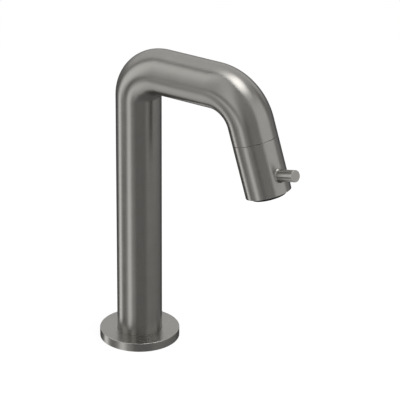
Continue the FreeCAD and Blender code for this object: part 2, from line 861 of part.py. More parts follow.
def on_both_rounds(edge, about_z, about_y):
    """Whether an edge lies on a cylinder about Z and on one about Y, above the middle"""
    return all(
        abs(math.hypot(spot.x, spot.y) - about_z) < 1e-3
        and abs(math.hypot(spot.x, spot.z) - about_y) < 1e-3
        and spot.z > 0
        for spot in edge.discretize(7)
    )


def make_lever_stud():
    """Threaded stud from the spindle's flat, through the web, into the lever"""
    body = new_body("lever_stud", LEVER_FRAME)
    low = f"({stem_radius} - flat_depth + fit_gap)"
    top = f"({tube_radius} + stud_engagement)"
    turn(body, (
        ("0", low),
        (f"{stud_radius} - stud_chamfer", low),
        (stud_radius, f"{low} + stud_chamfer"),
        (stud_radius, f"{top} - stud_chamfer"),
        (f"{stud_radius} - stud_chamfer", top),
        ("0", top),
    ))
    socket = new_sketch(body, "stud_socket", "XY_Plane", top)
    corner = "(socket_flats / (2 * cos(30)))"
    draw_outline(socket, [
        (f"{corner} * cos({60 * index + 30})", f"{corner} * sin({60 * index + 30})")
        for index in range(6)
    ])
    pocket(body, socket, "socket_reach")
    return body


def make_aerator_seal():
    inner = f"{aerator_inside} - lip_width - turn_gap"
    outer = f"{aerator_bore} - play_gap"
    return ring("aerator_seal", inner, outer, housing_top, "aerator_depth", OUTLET_FRAME)


def make_aerator_housing():
    """Screw-in cup with an inner lip below and notches for its key"""
    low = "(-aerator_proud)"
    lip = f"({aerator_inside} - lip_width)"
    edge = "(rim_chamfer / 2)"
    body = turned_piece("aerator_housing", (
        (lip, low),
        (f"{aerator_radius} - {edge}", low),
        (aerator_radius, f"{low} + {edge}"),
        (aerator_radius, housing_top),
        (aerator_inside, housing_top),
        (aerator_inside, grid_bottom),
        (lip, grid_bottom),
    ), OUTLET_FRAME)
    notch = new_sketch(body, "key_notch", "XY_Plane", low)
    reach = f"{aerator_inside} - fit_gap"
    draw_outline(notch, box_outline("-notch_width / 2", "notch_width / 2", f"{lip} - {PAST}", reach))
    repeat_round(body, pocket(body, notch, "notch_depth", reverse=True), NOTCH_COUNT)
    return body


def hexagonal_places(pitch, limit):
    """Places of a close-packed grid inside a radius, as pairs of formulas"""
    rings = int(limit / pitch)
    places = []
    for row in range(-rings, rings + 1):
        for column in range(-rings, rings + 1):
            across = column + row / 2
            up = row * math.sqrt(0.75)
            if math.hypot(across, up) * pitch <= limit + 1e-6:
                places.append((across, up))
    return places


def grid_piece(label, blank, cutters):
    """A blank with many holes, cut in one go"""
    tools = doc.addObject("Part::Compound", label + "_holes")
    tools.Links = cutters
    doc.recompute()
    cut = doc.addObject("Part::Cut", label + "_cut")
    cut.Base = blank
    cut.Tool = tools
    doc.recompute()
    must_cut(cut, blank.Shape.Volume)
    return keep(cut, label, OUTLET_FRAME)


def place_cutter(item, pitch, place):
    bind(item, "Placement.Base.x", f"{pitch} * {place[0]:.6f}")
    bind(item, "Placement.Base.y", f"{pitch} * {place[1]:.6f}")


def make_aerator_grid():
    """Honeycomb that straightens the jet"""
    blank = doc.addObject("Part::Cylinder", "grid_blank")
    bind(blank, "Radius", insert_radius)
    bind(blank, "Height", "grid_thickness")
    bind(blank, "Placement.Base.z", grid_bottom)
    limit = value(f"{insert_radius} - grid_rim - cell_pitch / 2")
    cutters = []
    for index, place in enumerate(hexagonal_places(value("cell_pitch"), limit)):
        cell = doc.addObject("Part::Prism", f"grid_cell_{index}")
        cell.Polygon = 6
        bind(cell, "Circumradius", "cell_flats / (2 * cos(30))")
        bind(cell, "Height", f"grid_thickness + 2 * {PAST}")
        place_cutter(cell, "cell_pitch", place)
        bind(cell, "Placement.Base.z", f"{grid_bottom} - {PAST}")
        bind(cell, "Placement.Rotation.Angle", "30")
        cutters.append(cell)
    return grid_piece("aerator_grid", blank, cutters)


def make_aerator_mixer():
    """Plate with one circle of jets"""
    body = new_body("aerator_mixer", OUTLET_FRAME)
    plate = new_sketch(body, "mixer_plate", "XY_Plane", grid_top)
    draw_circle(plate, insert_radius)
    pad(body, plate, "mixer_thickness")
    jet = new_sketch(body, "mixer_jet", "XY_Plane", mixer_top)
    draw_circle(jet, "mixer_hole / 2", f"{insert_radius} - mixer_inset", "0")
    repeat_round(body, pocket(body, jet, "mixer_thickness"), MIXER_HOLES)
    return body


def make_aerator_strainer():
    """Shallow perforated cone on top of the mixer"""
    body = doc.addObject("PartDesign::Body", "strainer_blank")
    flat = f"({insert_radius} - grid_rim)"
    turn(body, (
        ("0", f"{housing_top} - strainer_sheet"),
        (flat, mixer_top),
        (insert_radius, mixer_top),
        (insert_radius, f"{mixer_top} + strainer_sheet"),
        (flat, f"{mixer_top} + strainer_sheet"),
        ("0", housing_top),
    ), "strainer_profile")
    limit = value(f"{flat} - strainer_pitch / 2")
    cutters = []
    for index, place in enumerate(hexagonal_places(value("strainer_pitch"), limit)):
        hole = doc.addObject("Part::Cylinder", f"strainer_hole_{index}")
        bind(hole, "Radius", "strainer_hole / 2")
        bind(hole, "Height", f"{housing_top} - {mixer_top} + 2 * {PAST}")
        place_cutter(hole, "strainer_pitch", place)
        bind(hole, "Placement.Base.z", f"{mixer_top} - {PAST}")
        cutters.append(hole)
    return grid_piece("aerator_strainer", body, cutters)


def check_pieces():
    """Every object is up to date, and every piece is valid and not empty"""
    for item in doc.Objects:
        if "Invalid" in item.State or "Error" in item.State:
            raise RuntimeError(f"{item.Name} failed: {item.State}")
    for item in pieces:
        if item.Shape.isNull() or not item.Shape.isValid() or not item.Shape.Solids:
            raise RuntimeError(f"{item.Label} has no valid solid")


def write_pieces():
    os.makedirs("parts", exist_ok=True)
    for item in pieces:
        item.Shape.exportStep(f"parts/{item.Label}.step")
        solids = len(item.Shape.Solids)
        print(f"{item.Label}: {solids} solid, {item.Shape.Volume:.1f} mm3")


fill_sheet()
make_spout_tube()
make_flange()
make_deck_gasket()
make_shank()
make_shank_seal()
make_washers()
make_back_nut()
make_end_bush()
make_body_seal()
make_cartridge_body()
make_fixed_disc()
make_inlet_seal()
make_seal_retainer()
make_slip_ring()
make_outlet_sleeve()
make_lever_pin()
make_lever_stud()
make_valve_spindle()
make_spindle_seals()
make_spindle_circlip()
make_thrust_washer()
make_moving_disc()
make_aerator_seal()
make_aerator_housing()
make_aerator_grid()
make_aerator_mixer()
make_aerator_strainer()
doc.recompute()
check_pieces()
write_pieces()
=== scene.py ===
"""Looks of a small basin tap: brushed tube and flange, turning outlet, lever and threads.

Lengths are in metres. Each new surface is a grid of points worked out from a formula, and each
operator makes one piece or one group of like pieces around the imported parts.
"""

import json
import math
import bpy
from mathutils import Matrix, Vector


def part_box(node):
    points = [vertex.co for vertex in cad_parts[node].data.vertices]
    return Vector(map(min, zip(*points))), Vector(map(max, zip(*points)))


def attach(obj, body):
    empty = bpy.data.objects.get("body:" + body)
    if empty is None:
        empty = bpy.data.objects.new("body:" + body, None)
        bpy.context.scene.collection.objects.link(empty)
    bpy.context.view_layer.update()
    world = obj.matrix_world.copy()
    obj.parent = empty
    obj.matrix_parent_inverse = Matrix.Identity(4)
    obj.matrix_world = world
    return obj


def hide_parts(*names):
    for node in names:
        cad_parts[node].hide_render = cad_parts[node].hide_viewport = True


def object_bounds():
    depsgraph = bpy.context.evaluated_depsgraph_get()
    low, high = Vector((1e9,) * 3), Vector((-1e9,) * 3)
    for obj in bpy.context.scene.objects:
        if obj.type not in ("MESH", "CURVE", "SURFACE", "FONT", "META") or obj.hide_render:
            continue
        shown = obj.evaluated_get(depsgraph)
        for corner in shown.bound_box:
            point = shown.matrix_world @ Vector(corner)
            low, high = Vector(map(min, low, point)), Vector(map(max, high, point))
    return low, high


bl_info = {
    "name": "Basin tap",
    "version": (1, 0, 0),
    "blender": (4, 5, 0),
    "location": "View3D > Sidebar > Basin tap",
    "description": "Surfaces, finishes and studio of a small deck-mounted basin tap",
    "category": "Object",
}

import bpy
import numpy as np
from bpy.props import FloatProperty, FloatVectorProperty, IntProperty, PointerProperty
from mathutils import Matrix, Vector

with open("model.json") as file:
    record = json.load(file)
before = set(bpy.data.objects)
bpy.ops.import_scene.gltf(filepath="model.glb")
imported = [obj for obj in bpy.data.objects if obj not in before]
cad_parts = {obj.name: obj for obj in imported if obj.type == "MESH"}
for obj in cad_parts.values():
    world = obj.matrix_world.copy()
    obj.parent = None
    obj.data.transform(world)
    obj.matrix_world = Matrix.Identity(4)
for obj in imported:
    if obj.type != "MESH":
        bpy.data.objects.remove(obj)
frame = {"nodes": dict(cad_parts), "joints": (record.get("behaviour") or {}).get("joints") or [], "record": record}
cad_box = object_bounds()

MM = 0.001

# Small roundings and gaps that several pieces share
FINE_EDGE = 0.08 * MM
SHARP_EDGE = 0.05 * MM
FIT_GAP = 0.02 * MM
LOOSE_GAP = 0.05 * MM

# Threads: rows of points to a pitch, depths as shares of the pitch, and the chamfer at an end
ROWS_PER_PITCH = 14
METRIC_DEPTH = 0.541
PIPE_DEPTH = 0.64
LEAD_IN = 1 * MM

# Groove of the shank's seal: its two sides above the shoulder, and its depth
SEAL_LOW, SEAL_HIGH, SEAL_DEPTH = 14 * MM, 16.38 * MM, 1.76 * MM

# Depth of the lever's blind hole, from the sleeve's surface
STUD_REACH = 4.8 * MM

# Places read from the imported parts
TUBE_LOW, TUBE_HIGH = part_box("spout_tube")
FLANGE_LOW, FLANGE_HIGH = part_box("flange")
SHANK_LOW, SHANK_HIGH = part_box("shank")
NUT_LOW, NUT_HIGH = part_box("back_nut")
OUTLET_JOINT = next(joint for joint in frame["joints"] if joint["name"] == "outlet_turn")
RIM_CENTRE = Vector(OUTLET_JOINT["pos_m"])
OUTLET_UP = -Vector(OUTLET_JOINT["axis"]).normalized()


def outlet_matrix(turn):
    """Frame at the rim's centre: Z up the outlet, and -Y out of its front, turned about Z"""
    across = Vector((1, 0, 0))
    ahead = OUTLET_UP.cross(across)
    upright = Matrix((across, ahead, OUTLET_UP)).transposed().to_4x4()
    return Matrix.Translation(RIM_CENTRE) @ upright @ Matrix.Rotation(-turn, 4, "Z")


def points_of(mesh):
    """The points of a mesh as rows of X, Y and Z"""
    places = np.empty(len(mesh.vertices) * 3)
    mesh.vertices.foreach_get("co", places)
    return places.reshape(-1, 3)


def reach_in(node, matrix):
    """Lowest height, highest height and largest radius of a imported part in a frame"""
    local = moved(points_of(frame["nodes"][node].data), matrix.inverted())
    return local[:, 2].min(), local[:, 2].max(), np.hypot(local[:, 0], local[:, 1]).max()


def moved(places, matrix):
    """Points carried by a 4 by 4 matrix"""
    values = np.array(matrix)
    return places @ values[:3, :3].T + values[:3, 3]


def swung(directions, matrix):
    """Directions turned by a 4 by 4 matrix"""
    return directions @ np.array(matrix)[:3, :3].T


def size(name, default, about):
    """A length property with its default in metres"""
    return FloatProperty(name=name, description=about, default=default, unit="LENGTH", precision=5)


def angle(name, degrees, about):
    """An angle property with its default given in degrees"""
    return FloatProperty(name=name, description=about, default=math.radians(degrees),
                         subtype="ANGLE")


def share(name, default, about):
    """A property between 0 and 1"""
    return FloatProperty(name=name, description=about, default=default, min=0, max=1)


def tint(name, default, about):
    """A colour property"""
    return FloatVectorProperty(name=name, description=about, default=default, subtype="COLOR",
                               min=0, max=1)


class TapSizes(bpy.types.PropertyGroup):
    """Lengths and angles of the tap's new surfaces"""

    tube_wall: size("Tube wall", 1.5 * MM, "Thickness of the spout tube")
    column_bend: size("Column bend", 16.5 * MM, "Radius of the first bend on its centre line")
    outlet_bend: size("Outlet bend", 23.2 * MM, "Radius of the second bend on its centre line")
    tube_edge: size("Tube edge", 0.1 * MM, "Rounding of the tube's cut ends")
    flange_edge: size("Flange edge", 0.35 * MM, "Rounding of the flange's top edge")
    gasket_inset: size("Gasket inset", 2.0 * MM, "From the tube to the gasket's groove")
    gasket_margin: size("Gasket margin", 1.7 * MM, "From the gasket's groove to the rim")
    gasket_depth: size("Gasket depth", 1.2 * MM, "Depth of the gasket's groove")
    socket_depth: size("Socket depth", 2.5 * MM, "How far the tube stands in the flange")
    ledge: size("Flange ledge", 1.5 * MM, "Ledge of the flange on the shank's shoulder")
    spigot_radius: size("Spigot radius", 10.98 * MM, "Radius of the shank inside the tube")
    shank_radius: size("Shank radius", 12.0 * MM, "Radius of the shank's thread")
    water_radius: size("Water way", 6.98 * MM, "Radius of the bore for the water")
    inlet_radius: size("Inlet radius", 10.4775 * MM, "Radius of the inlet's thread")
    shank_length: size("Shank length", 34 * MM, "From the deck to the inlet's thread")
    shank_pitch: size("Shank pitch", 1.5 * MM, "Pitch of the shank's thread")
    inlet_pitch: size("Inlet pitch", 1.814 * MM, "Pitch of the inlet's thread")
    sleeve_wall: size("Sleeve wall", 1.6 * MM, "Thickness of the outlet's sleeve")
    rim_wall: size("Rim wall", 3.2 * MM, "Thickness of the sleeve round the aerator")
    rim_edge: size("Rim edge", 0.1 * MM, "Rounding of the sleeve's outer edges")
    web_low: size("Web underside", 6.5 * MM, "Height of the web's underside above the rim")
    web_high: size("Web top", 13.7 * MM, "Height of the web's top above the rim")
    stop_height: size("Stop height", 2 * MM, "Height of the quarter turn's stop wall")
    stop_radius: size("Stop radius", 6.4 * MM, "Inner radius of the stop wall")
    stem_bore: size("Stem bore", 5.02 * MM, "Radius of the hole for the spindle")
    lever_radius: size("Lever radius", 3.25 * MM, "Radius of the lever")
    lever_flare: size("Lever flare", 1.3 * MM, "Rounding between the lever and its foot")
    lever_edge: size("Lever edge", 0.25 * MM, "Rounding of the lever's tip")
    stud_radius: size("Stud radius", 2.52 * MM, "Radius of the lever's blind hole")
    lever_turn: angle("Lever turn", 13.5, "The lever's place round the outlet, from its front")
    stop_window: angle("Stop window", 151, "Open angle of the stop wall")
    rounds: IntProperty(
        name="Rounds", description="Points round a turned piece", default=144, min=24, max=512)


class TapFinishes(bpy.types.PropertyGroup):
    """Colours and gloss of the tap's finishes"""

    gunmetal: tint("Gunmetal", (0.34, 0.33, 0.31),
                   "Coated steel of the tube, flange, outlet and lever")
    gunmetal_gloss: share("Gunmetal roughness", 0.29, "Roughness of the brushed coating")
    brushing: share("Brushing", 0.71, "How much the brush lines stretch a reflection")
    brass: tint("Brass", (0.72, 0.55, 0.28), "Turned brass of the shank, nut and valve")
    steel: tint("Steel", (0.6, 0.6, 0.6), "Bare stainless steel of the washer, stud and clip")
    rubber: tint("Rubber", (0.03, 0.03, 0.03), "Seals and the rubber washer")
    black_plastic: tint("Black plastic", (0.013, 0.013, 0.014), "Seam ring and aerator housing")
    white_plastic: tint("White plastic", (0.8, 0.8, 0.78),
                        "Inserts of the aerator and the thrust washer")
    ceramic: tint("Ceramic", (0.86, 0.85, 0.82), "Discs of the valve")


class TapStudio(bpy.types.PropertyGroup):
    """Camera, floor and light"""

    view_azimuth: angle("View azimuth", -57.02,
                        "The camera's direction round the tap, 0 in front of it")
    view_height: angle("View height", 24.49, "The camera's angle above the horizon")
    view_roll: angle("View roll", 0.27, "The camera's turn about its own axis")
    view_target: FloatVectorProperty(
        name="View target", description="The point that the camera is aimed at",
        default=(0, -0.04, 0.09), subtype="TRANSLATION", unit="LENGTH")
    view_distance: size("View distance", 1.5294, "From the camera to its target")
    lens: FloatProperty(
        name="Lens", description="Focal length in millimetres on a 36 mm sensor", default=254.4)
    shift: FloatVectorProperty(
        name="Shift", description="Shift of the frame to the photograph's", size=2,
        default=(-0.0005, 0.0103), precision=4)
    world_level: FloatProperty(
        name="World level", description="Strength of the even light from all round",
        default=0.6, min=0)
    deck_hole: size("Deck hole", 15 * MM, "Radius of the hole in the deck for the shank")
    tent_radius: size("Tent radius", 3.0, "Radius of the studio tent that the metal mirrors")


FINISH_OF_SLOT = {
    "brushed_gunmetal": "Gunmetal, brushed",
    "brass": "Brass, turned",
    "stainless_steel": "Steel, satin",
    "black_rubber": "Rubber, moulded",
    "black_plastic": "Plastic, black",
    "white_plastic": "Plastic, white",
    "ceramic": "Alumina, lapped",
}
IN_OUTLET = " in the outlet"


def settings():
    """The three groups of properties on the scene"""
    scene = bpy.context.scene
    return scene.tap_sizes, scene.tap_finishes, scene.tap_studio


# Surfaces


def unit(vectors):
    """Vectors brought to a length of 1"""
    return vectors / np.linalg.norm(vectors, axis=-1, keepdims=True)


def rounded(corners, edge, steps=5):
    """A closed outline with an arc at each corner.

    Each corner is (across, along) or (across, along, rounding), in order anticlockwise, and is
    rounded by the edge where it gives no rounding. With a and b the directions to its neighbours
    and h half the angle between them, the arc runs between the points rounding / tan h away from
    the corner, about a centre rounding / sin h away on the bisector. A plain point stands on each
    side of an arc, so that the flats stay flat. Gives the points, their outward normals, the
    length up to each and the share of edge in each.
    """
    table = np.array([(*corner, edge)[:3] for corner in corners], float)
    here, rounding = table[:, :2], table[:, 2:]
    back = unit(np.roll(here, 1, axis=0) - here)
    ahead = unit(np.roll(here, -1, axis=0) - here)
    half = np.arccos(np.clip((back * ahead).sum(1, keepdims=True), -1, 1)) / 2
    centre = here + unit(back + ahead) * rounding / np.sin(half)
    start = here + back * rounding / np.tan(half)
    turn = np.cross(-back, ahead)[:, None]
    sweep = np.sign(turn) * (math.pi - 2 * half) * np.linspace(0, 1, steps + 1)
    spoke = (start - centre)[:, None, :]
    turned_spoke = np.stack([
        spoke[..., 0] * np.cos(sweep) - spoke[..., 1] * np.sin(sweep),
        spoke[..., 0] * np.sin(sweep) + spoke[..., 1] * np.cos(sweep),
    ], -1)
    arc = centre[:, None, :] + turned_spoke
    outward = unit(turned_spoke) * np.sign(turn)[..., None]
    room = np.linalg.norm(np.roll(here, -1, axis=0) - here, axis=1, keepdims=True)
    after = arc[:, -1] + ahead * np.minimum(rounding, room / 8)
    before = arc[:, 0] + back * np.minimum(rounding, np.roll(room, 1, axis=0) / 8)
    places = np.concatenate([before[:, None], arc, after[:, None]], 1).reshape(-1, 2)
    normals = np.concatenate([outward[:, :1], outward, outward[:, -1:]], 1).reshape(-1, 2)
    # Arc points are marked as edge: they take the lighter colour of rubbed coating and a painted highlight
    worn_and_highlit = np.zeros((len(here), steps + 3))
    worn_and_highlit[:, 2:-2] = 1
    step = np.linalg.norm(np.diff(places, axis=0), axis=1)
    return places, normals, np.concatenate([[0], np.cumsum(step)]), worn_and_highlit.ravel()


def with_stations(outline, stations, long_part=5 * MM):
    """The outline with points added where its long straight parts pass the stations along it"""
    places, normals, length, edge = outline
    rise = np.diff(places[:, 1])
    extra = [length]
    for index in np.nonzero(np.abs(rise) > long_part)[0]:
        low, high = sorted(places[index:index + 2, 1])
        inside = stations[(stations > low) & (stations < high)]
        extra.append(length[index] + np.abs(inside - places[index, 1]))
    at = np.unique(np.concatenate(extra))
    columns = [np.interp(at, length, column) for column in (*places.T, *normals.T, edge)]
    return np.stack(columns[:2], 1), np.stack(columns[2:4], 1), at, columns[4]


def angles_round(columns):
    """Even angles of a full turn, one for each column"""
    return np.arange(columns) / columns * 2 * math.pi


def spokes(columns):
    """Unit circle as columns of cosine and sine"""
    return np.cos(angles_round(columns)), np.sin(angles_round(columns))


def grid_object(name, places, normals, length, edge, radius, poles=(False, False), loop=True):
    """A mesh on a grid of rows by columns, closed round its columns.

    Rows also close into a loop, or end in poles, where a whole row is one point. The piece gets
    a map with U round and V along the rows, the point attribute `unrolled`, which is
    (radius cos, radius sin, length) of the same point on a straight tube, and `edge`.
    """
    rows, columns = places.shape[:2]
    index = np.arange(rows * columns).reshape(rows, columns)
    for row, is_pole in zip((0, rows - 1), poles):
        if is_pole:
            index[row] = index[row, 0]
    used, index = np.unique(index, return_inverse=True)
    index = index.reshape(rows, columns)
    last = rows if loop else rows - 1
    row, column = (grid.ravel() for grid in np.mgrid[0:last, 0:columns])
    next_row, next_column = (row + 1) % rows, (column + 1) % columns
    quads = np.stack([index[row, column], index[row, next_column],
                      index[next_row, next_column], index[next_row, column]], 1)
    along = np.append(length, length[-1] + np.linalg.norm(places[-1, 0] - places[0, 0]))
    turn_map = np.stack([column, column + 1, column + 1, column], 1) / columns
    along_map = np.stack([along[row], along[row], along[row + 1], along[row + 1]], 1)
    corner = np.ones_like(quads, bool)
    if poles[0]:
        corner[row == 0, 1] = False
    if poles[1]:
        corner[row == last - 1, 2] = False
    faces = [quad[kept].tolist() for quad, kept in zip(quads, corner)]
    mesh = bpy.data.meshes.new(name)
    mesh.from_pydata(places.reshape(-1, 3)[used].tolist(), [], faces)
    mesh.polygons.foreach_set("use_smooth", np.ones(len(faces), bool))
    layer = mesh.uv_layers.new(name="round_and_along")
    layer.data.foreach_set("uv", np.stack([turn_map[corner], along_map[corner]], 1).ravel())
    cosine, sine = spokes(columns)
    unrolled = np.empty((rows, columns, 3))
    unrolled[..., 0] = radius * cosine
    unrolled[..., 1] = radius * sine
    unrolled[..., 2] = length[:, None]
    layout = mesh.attributes.new("unrolled", "FLOAT_VECTOR", "POINT")
    layout.data.foreach_set("vector", unrolled.reshape(-1, 3)[used].ravel())
    worn_and_highlit = np.broadcast_to(edge[:, None], (rows, columns)).ravel()[used]
    mesh.attributes.new("edge", "FLOAT", "POINT").data.foreach_set("value", worn_and_highlit)
    if normals is not None:
        mesh.normals_split_custom_set_from_vertices(normals.reshape(-1, 3)[used].tolist())
    mesh.update()
    piece = bpy.data.objects.new(name, mesh)
    bpy.context.scene.collection.objects.link(piece)
    return piece


def turned(name, outline, matrix, radius, columns):
    """An outline of radius and height carried round an axis: (r cos, r sin, height)"""
    places, normals, length, edge = outline
    cosine, sine = spokes(columns)

    def carry(pairs):
        return np.stack([pairs[:, :1] * cosine, pairs[:, :1] * sine,
                         np.repeat(pairs[:, 1:], columns, 1)], -1)

    return grid_object(name, moved(carry(places), matrix), swung(carry(normals), matrix),
                       length, edge, radius)


def carved(name, outline, radius, columns, cut):
    """An outline carried round Z, with the radius that cut(radius, height, angle) gives"""
    places, _, length, edge = outline
    across, height = (np.repeat(places[:, side, None], columns, 1) for side in (0, 1))
    across = cut(across, height, angles_round(columns))
    cosine, sine = spokes(columns)
    grid = np.stack([across * cosine, across * sine, height], -1)
    return grid_object(name, grid, None, length, edge, radius)


def finish(piece, body, slot, *nodes):
    """Give a new piece its body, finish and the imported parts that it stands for"""
    piece.data.materials.append(bpy.data.materials[FINISH_OF_SLOT[slot]])
    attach(piece, body)
    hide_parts(*nodes)


def gone(facing, curvature, step):
    """How far forward and up a step goes on an arc, or on a straight run if the curvature is 0"""
    if not curvature:
        return math.sin(facing) * step, math.cos(facing) * step
    turned_to = facing + curvature * step
    return ((math.cos(facing) - np.cos(turned_to)) / curvature,
            (np.sin(turned_to) - math.sin(facing)) / curvature)


class Route:
    """The spout's centre line in the plane X = 0: straight runs joined by tangent arcs.

    The heading turns from straight up towards the front. On a run the point moves by
    (sin, cos) of the heading, and on an arc of curvature k by
    ((cos h0 - cos h) / k, (sin h - sin h0) / k), forward and up.
    """

    def __init__(self, sizes):
        radius = TUBE_HIGH.x
        self.foot = TUBE_LOW.z
        run_height = TUBE_HIGH.z - radius
        tilt = math.atan2(OUTLET_UP.y, OUTLET_UP.z)
        rise = (run_height - RIM_CENTRE.z) / OUTLET_UP.z
        corner = -(RIM_CENTRE.y + rise * OUTLET_UP.y)
        turn = math.pi / 2 - tilt
        tangent = sizes.outlet_bend * math.tan(turn / 2)
        tube_end = reach_in("slip_ring", outlet_matrix(0))[1]
        self.parts = (
            (run_height - sizes.column_bend - self.foot, 0.0),
            (sizes.column_bend * math.pi / 2, 1 / sizes.column_bend),
            (corner - sizes.column_bend - tangent, 0.0),
            (sizes.outlet_bend * turn, 1 / sizes.outlet_bend),
            (rise - tangent - tube_end, 0.0),
        )
        self.length = sum(length for length, _ in self.parts)

    def stations(self, step):
        """Lengths at which the line bends, a step of turn apart, with both ends of each arc"""
        found, start = [], 0.0
        for length, curvature in self.parts:
            count = max(1, math.ceil(length * curvature / step))
            found.append(start + np.linspace(0, length, count + 1))
            start += length
        return np.unique(np.concatenate(found))

    def at(self, length):
        """Forward, up and heading for an array of lengths"""
        forward, up, heading = (np.zeros_like(length) for _ in range(3))
        start, place, facing = 0.0, np.array([0.0, self.foot]), 0.0
        for part, (span, curvature) in enumerate(self.parts):
            inside = length >= start if part else np.ones_like(length, bool)
            step = length[inside] - start
            ahead, above = gone(facing, curvature, step)
            forward[inside], up[inside] = place[0] + ahead, place[1] + above
            heading[inside] = facing + curvature * step
            place = place + np.array(gone(facing, curvature, span))
            facing += curvature * span
            start += span
        return forward, up, heading


def along_route(name, outline, route, radius, columns):
    """An outline of radius and length carried round the route.

    A point stands on the route at its length, off it by its radius times
    cos X + sin (forward turned back by a quarter turn).
    """
    places, normals, length, edge = outline
    cosine, sine = spokes(columns)
    forward, up, heading = (values[:, None] for values in route.at(places[:, 1]))

    def carry(pairs, ahead, above, slant):
        side = pairs[:, :1] * sine
        return np.stack([
            pairs[:, :1] * cosine,
            -ahead + side * np.cos(heading) - slant * np.sin(heading),
            above + side * np.sin(heading) + slant * np.cos(heading),
        ], -1)

    return grid_object(name, carry(places, forward, up, 0.0),
                       carry(normals, 0.0, 0.0, normals[:, 1:]), length, edge, radius)


# Finishes


def feed(tree, node, inputs):
    """Put a number, a colour or a link on inputs of a node, by name or by number"""
    for name, given in inputs.items():
        if isinstance(given, bpy.types.NodeSocket):
            tree.links.new(given, node.inputs[name])
        else:
            node.inputs[name].default_value = given


def add_node(tree, kind, inputs=None, **options):
    """A new shader node with its options set and its inputs fed"""
    node = tree.nodes.new("ShaderNode" + kind)
    for name, value in options.items():
        setattr(node, name, value)
    feed(tree, node, inputs or {})
    return node


def empty_tree(owner):
    """The cleared node tree of a material or a world"""
    owner.use_nodes = True
    owner.node_tree.nodes.clear()
    return owner.node_tree


def new_group(name, inputs, outputs):
    """A shader node group, its inputs as seen from inside, and its outputs.

    The inputs go by name and default, and one without a default is a vector.
    """
    group = bpy.data.node_groups.new(name, "ShaderNodeTree")
    for label, default in inputs.items():
        kind = "NodeSocketVector" if default is None else "NodeSocketFloat"
        socket = group.interface.new_socket(label, in_out="INPUT", socket_type=kind)
        if default is not None:
            socket.default_value = default
    for label in outputs:
        group.interface.new_socket(label, in_out="OUTPUT", socket_type="NodeSocketFloat")
    return (group, group.nodes.new("NodeGroupInput").outputs,
            group.nodes.new("NodeGroupOutput").inputs)


def place_group(tree, group, inputs):
    """Put a node group into a material; gives its outputs"""
    return add_node(tree, "Group", inputs, node_tree=group).outputs


def maths(tree, operation, *values, clamp=False):
    """A Math node, with a number or a link on each input; gives its output"""
    return add_node(tree, "Math", dict(enumerate(values)), operation=operation,
                    use_clamp=clamp).outputs[0]


def noise(tree, vector, scale, detail, roughness=0.55):
    """A Noise Texture on a vector; gives its value"""
    return add_node(tree, "TexNoise", {"Vector": vector, "Scale": scale, "Detail": detail,
                                       "Roughness": roughness}).outputs["Fac"]


def stretched(tree, vector, across, along):
    """A vector scaled by one number in X and Y and by another in Z"""
    return add_node(tree, "VectorMath", {0: vector, 1: (across, across, along)},
                    operation="MULTIPLY").outputs[0]


def split_up(tree, vector):
    """A vector's X, Y and Z"""
    return add_node(tree, "SeparateXYZ", {0: vector}).outputs


def object_place(tree):
    """The place on the object"""
    return add_node(tree, "TexCoord").outputs["Object"]


def attribute(tree, name, output="Fac"):
    """An attribute of the mesh, as a number or as a vector"""
    return add_node(tree, "Attribute", attribute_name=name).outputs[output]


def brushed_grain_group():
    """Lines round a piece: noise on the unrolled place, long round it and short along it"""
    group, given, out = new_group("Brushed grain", {"Place": None, "Depth": 1.0},
                                  ("Lines", "Cloud"))
    fine = noise(group, stretched(group, given["Place"], 60, 4200), 1, 3, 0.65)
    broad = noise(group, stretched(group, given["Place"], 25, 900), 1, 2, 0.5)
    both = maths(group, "MULTIPLY_ADD", maths(group, "SUBTRACT", fine, 0.5), 0.7,
                 maths(group, "MULTIPLY", maths(group, "SUBTRACT", broad, 0.5), 0.3))
    group.links.new(maths(group, "MULTIPLY", both, given["Depth"]), out["Lines"])
    cloud = noise(group, given["Place"], 90, 3, 0.6)
    group.links.new(maths(group, "SUBTRACT", cloud, 0.5), out["Cloud"])
    return group


def edge_wear_and_highlight_group():
    """Where an edge is rubbed, with a painted highlight along it: the edge attribute, broken up by a little noise
    """
    group, given, out = new_group("Edge wear", {"Place": None, "Edge": 0.0, "Amount": 0.5},
                                  ("Mask",))
    patchy = maths(group, "MULTIPLY_ADD", noise(group, given["Place"], 260, 2), 0.6, 0.55)
    worn_and_highlit = maths(group, "MULTIPLY", given["Edge"], patchy)
    group.links.new(maths(group, "MULTIPLY", worn_and_highlit, given["Amount"], clamp=True), out["Mask"])
    return group


def grain_group():
    """Fine even grain of moulded or lapped stuff, and a slow change of gloss"""
    group, given, out = new_group("Fine grain", {"Place": None, "Scale": 4000.0},
                                  ("Height", "Cloud"))
    group.links.new(noise(group, given["Place"], given["Scale"], 3, 0.5), out["Height"])
    cloud = noise(group, given["Place"], 70, 3)
    group.links.new(maths(group, "SUBTRACT", cloud, 0.5), out["Cloud"])
    return group


def shader(name, **values):
    """A new material with a Principled shader; gives its node tree and the shader"""
    tree = empty_tree(bpy.data.materials.new(name))
    surface = add_node(tree, "BsdfPrincipled",
                       {label.replace("_", " "): given for label, given in values.items()})
    add_node(tree, "OutputMaterial", {"Surface": surface.outputs[0]})
    return tree, surface


def toned(colour, factor):
    """A colour made darker or lighter, with its alpha"""
    return (*(min(value * factor, 1.0) for value in colour), 1.0)


def mix_colours(tree, factor, first, second):
    """A Mix node between two colours or links"""
    return add_node(tree, "Mix", {"Factor": factor, "A": first, "B": second},
                    data_type="RGBA").outputs["Result"]


def bumped(tree, height, distance):
    """The normal of a surface that is raised by a height"""
    return add_node(tree, "Bump", {"Distance": distance, "Height": height}).outputs["Normal"]


